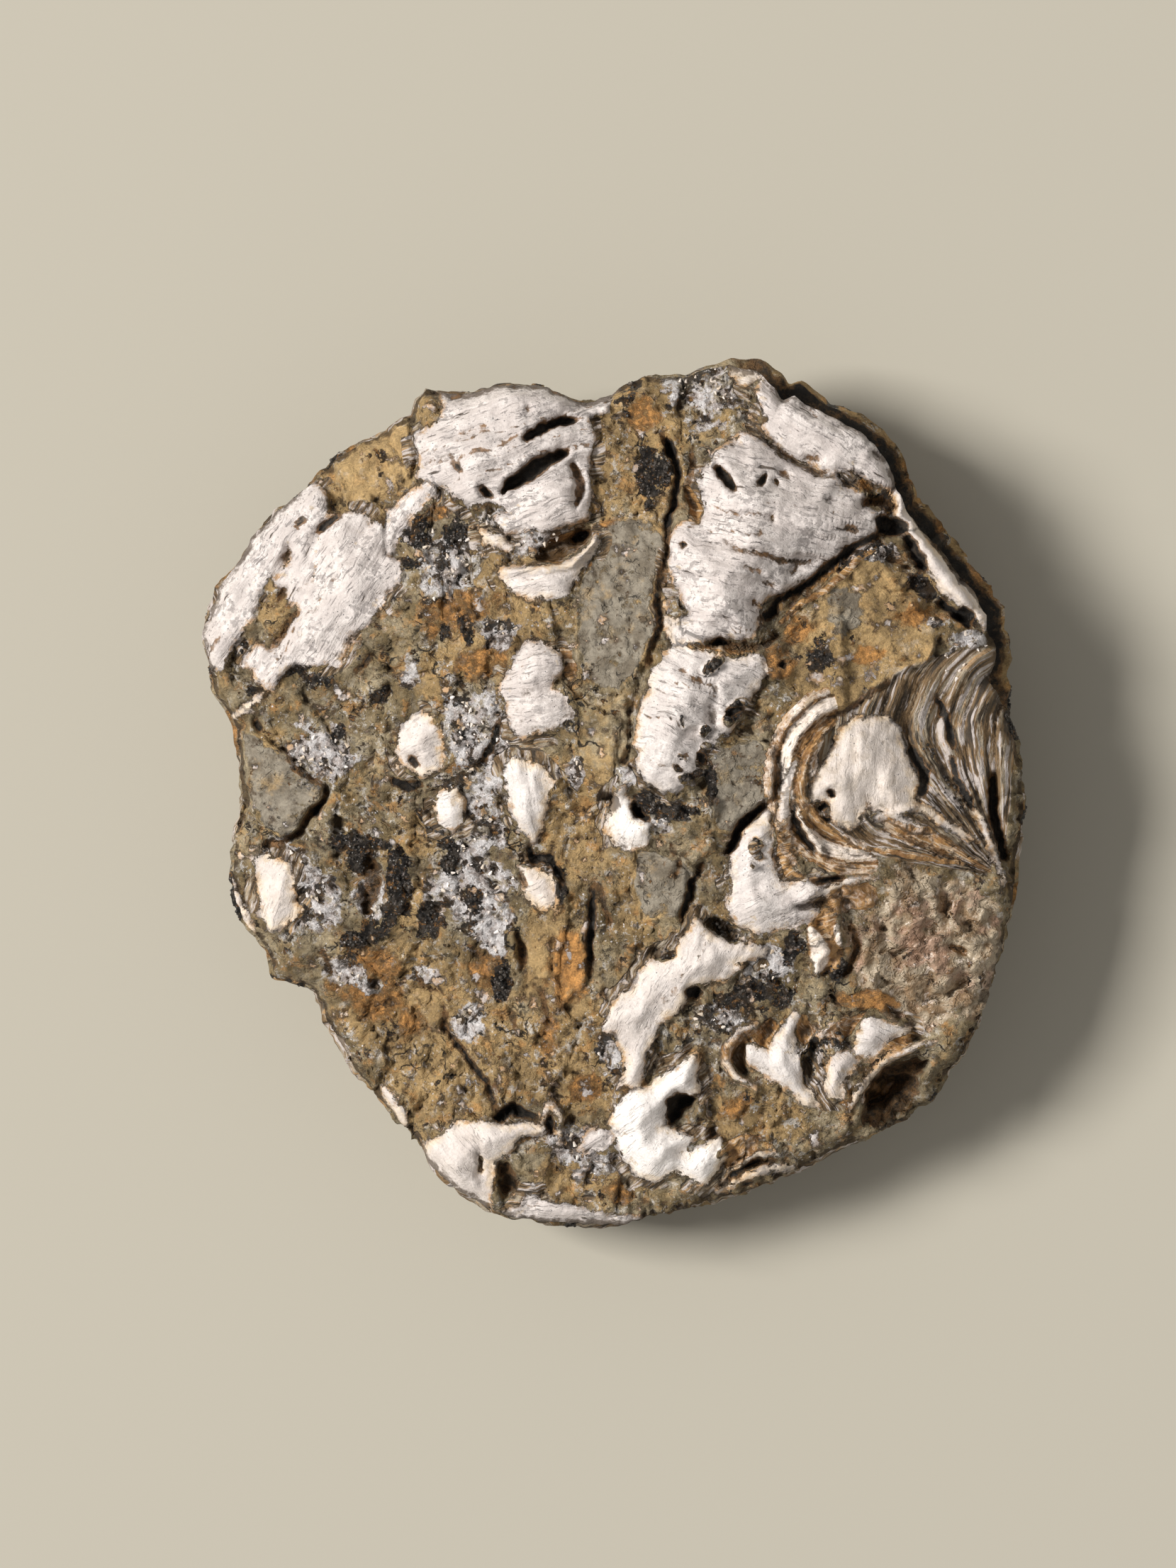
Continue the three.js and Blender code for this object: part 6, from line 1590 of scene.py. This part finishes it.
class FossilStage(bpy.types.PropertyGroup):
    floor: paint_property("Floor", "Plain pale floor", "#B4AFA2")
    lens: bpy.props.FloatProperty(
        name="Lens", description="Focal length of the camera in millimetres", default=180, min=20, max=400)
    frame_height: bpy.props.FloatProperty(
        name="Frame height", description="Height of the picture at the fossil",
        default=0.1333, min=0.05, max=1, unit="LENGTH", precision=4)
    key: bpy.props.FloatProperty(
        name="Key light", description="Power of the window-like light in watts",
        default=98, min=0, max=1000)
    fill: bpy.props.FloatProperty(
        name="Fill light", description="Strength of the light from all round", default=0.4, min=0, max=5)


class FOSSIL_OT_body(bpy.types.Operator):
    """Build the shell and the stone as one closed mesh"""

    bl_idname = "fossil.body"
    bl_label = "Shell and stone"

    def execute(self, context):
        places, triangles, fields = body_mesh_data()
        mesh = new_mesh("shell_and_stone", fitted(places), triangles)
        set_fields(mesh, fields)
        mesh.materials.append(body_material(context.scene.fossil_colours))
        body = add_piece("shell_and_stone", mesh)
        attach(body, "root")
        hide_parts(NODE)
        return {"FINISHED"}


class FOSSIL_OT_grains(bpy.types.Operator):
    """Grow quartz crystals and crust warts on the stone"""

    bl_idname = "fossil.grains"
    bl_label = "Crystals and warts"

    def execute(self, context):
        body = bpy.data.objects.get("shell_and_stone")
        if body is None:
            raise RuntimeError("build the shell and stone first")
        colours, grains = context.scene.fossil_colours, context.scene.fossil_grains
        quartz = grain_material("quartz_grown_in_hollows", colours.cream_shade, colours.quartz, 0.25)
        warts = grain_material("manganese_warts", colours.crust, colours.crust_pale, 0.42)
        pieces = [
            scatter(
                "quartz_crystals", body, crystal_shape, quartz, Finish="drusy", Low=0.45, High=1.0,
                Per_square_metre=grains.quartz_density / MM**2, Smallest=0.3 * grains.quartz_size,
                Largest=grains.quartz_size, Sunk=0.0, Seed=grains.seed),
            scatter(
                "crust_warts", body, pebble_shape, warts, Finish="crust", Low=0.5, High=1.0,
                Per_square_metre=grains.wart_density / MM**2, Smallest=0.35 * grains.wart_size,
                Largest=grains.wart_size, Sunk=-0.15 * grains.wart_size, Seed=grains.seed + 1),
        ]
        for piece in pieces:
            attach(piece, "root")
        return {"FINISHED"}


WINDOW_PLACE, WINDOW_SIZE, WINDOW_COLOUR = Vector((-1.8, 0.4, 2.0)), 0.8, (1, 0.975, 0.94)
ROOM_COLOUR = linear("#F3F1EE")
FRAME_MIDDLE = (-0.00225, 0.0009)  # the point of the fossil that the camera looks straight down on
MIDDLE_HEIGHT = 0.012


class FOSSIL_OT_stage(bpy.types.Operator):
    """Lay the floor, set the lights and place the camera straight above"""

    bl_idname = "fossil.stage"
    bl_label = "Floor, lights and camera"

    def execute(self, context):
        stage = context.scene.fossil_stage
        self.add_floor(stage)
        self.add_lights(context.scene, stage)
        self.add_camera(context.scene, stage)
        return {"FINISHED"}

    def add_floor(self, stage):
        """A matt pale board."""
        half = 1.5
        corners = [(-half, -half, 0), (half, -half, 0), (half, half, 0), (-half, half, 0)]
        mesh = bpy.data.meshes.new("floor")
        mesh.from_pydata(corners, [], [(0, 1, 2, 3)])
        material = bpy.data.materials.new("pale_matt_board")
        material.use_nodes = True
        shader = material.node_tree.nodes["Principled BSDF"]
        shader.inputs["Base Color"].default_value = colour(stage.floor)
        shader.inputs["Roughness"].default_value = 0.95
        shader.inputs["Specular IOR Level"].default_value = 0.1
        mesh.materials.append(material)
        add_piece("floor", mesh)

    def add_lights(self, scene, stage):
        """A window-like light from the left, and a soft one from all round."""
        light = bpy.data.lights.new("window", "AREA")
        light.energy = stage.key
        light.size = WINDOW_SIZE
        light.color = WINDOW_COLOUR
        lamp = bpy.data.objects.new("window", light)
        lamp.location = WINDOW_PLACE
        lamp.rotation_euler = WINDOW_PLACE.to_track_quat("Z", "Y").to_euler()
        scene.collection.objects.link(lamp)
        world = bpy.data.worlds.new("soft_room")
        world.use_nodes = True
        background = world.node_tree.nodes["Background"]
        background.inputs["Color"].default_value = colour(ROOM_COLOUR)
        background.inputs["Strength"].default_value = stage.fill
        scene.world = world
        scene.view_settings.view_transform = "Standard"

    def add_camera(self, scene, stage):
        """A long lens straight above, so far away that the frame height fills the picture."""
        lens = bpy.data.cameras.new("camera")
        lens.lens = stage.lens
        lens.sensor_width = 36
        lens.clip_end = 10
        camera = bpy.data.objects.new("camera", lens)
        distance = stage.frame_height * stage.lens / lens.sensor_width
        camera.location = (*FRAME_MIDDLE, MIDDLE_HEIGHT + distance)
        scene.collection.objects.link(camera)
        scene.camera = camera


class FOSSIL_PT_panel(bpy.types.Panel):
    """Settings and steps of the fossil oyster"""

    bl_idname = "FOSSIL_PT_panel"
    bl_label = "Fossil oyster"
    bl_space_type = "VIEW_3D"
    bl_region_type = "UI"
    bl_category = "Fossil oyster"

    def draw(self, context):
        layout = self.layout
        for step in STEPS:
            layout.operator(step.bl_idname)
        for name, kind in GROUPS.items():
            box = layout.box()
            for setting in kind.__annotations__:
                box.prop(getattr(context.scene, name), setting)


GROUPS = {"fossil_colours": FossilColours, "fossil_grains": FossilGrains, "fossil_stage": FossilStage}
STEPS = (FOSSIL_OT_body, FOSSIL_OT_grains, FOSSIL_OT_stage)


def register():
    for name, group in GROUPS.items():
        bpy.utils.register_class(group)
        setattr(bpy.types.Scene, name, bpy.props.PointerProperty(type=group))
    for shown in (*STEPS, FOSSIL_PT_panel):
        bpy.utils.register_class(shown)


def unregister():
    for shown in reversed((*STEPS, FOSSIL_PT_panel)):
        bpy.utils.unregister_class(shown)
    for name, group in GROUPS.items():
        delattr(bpy.types.Scene, name)
        bpy.utils.unregister_class(group)


def main():
    register()
    bpy.ops.fossil.body()
    bpy.ops.fossil.grains()
    bpy.ops.fossil.stage()


if __name__ == "__main__":
    main()
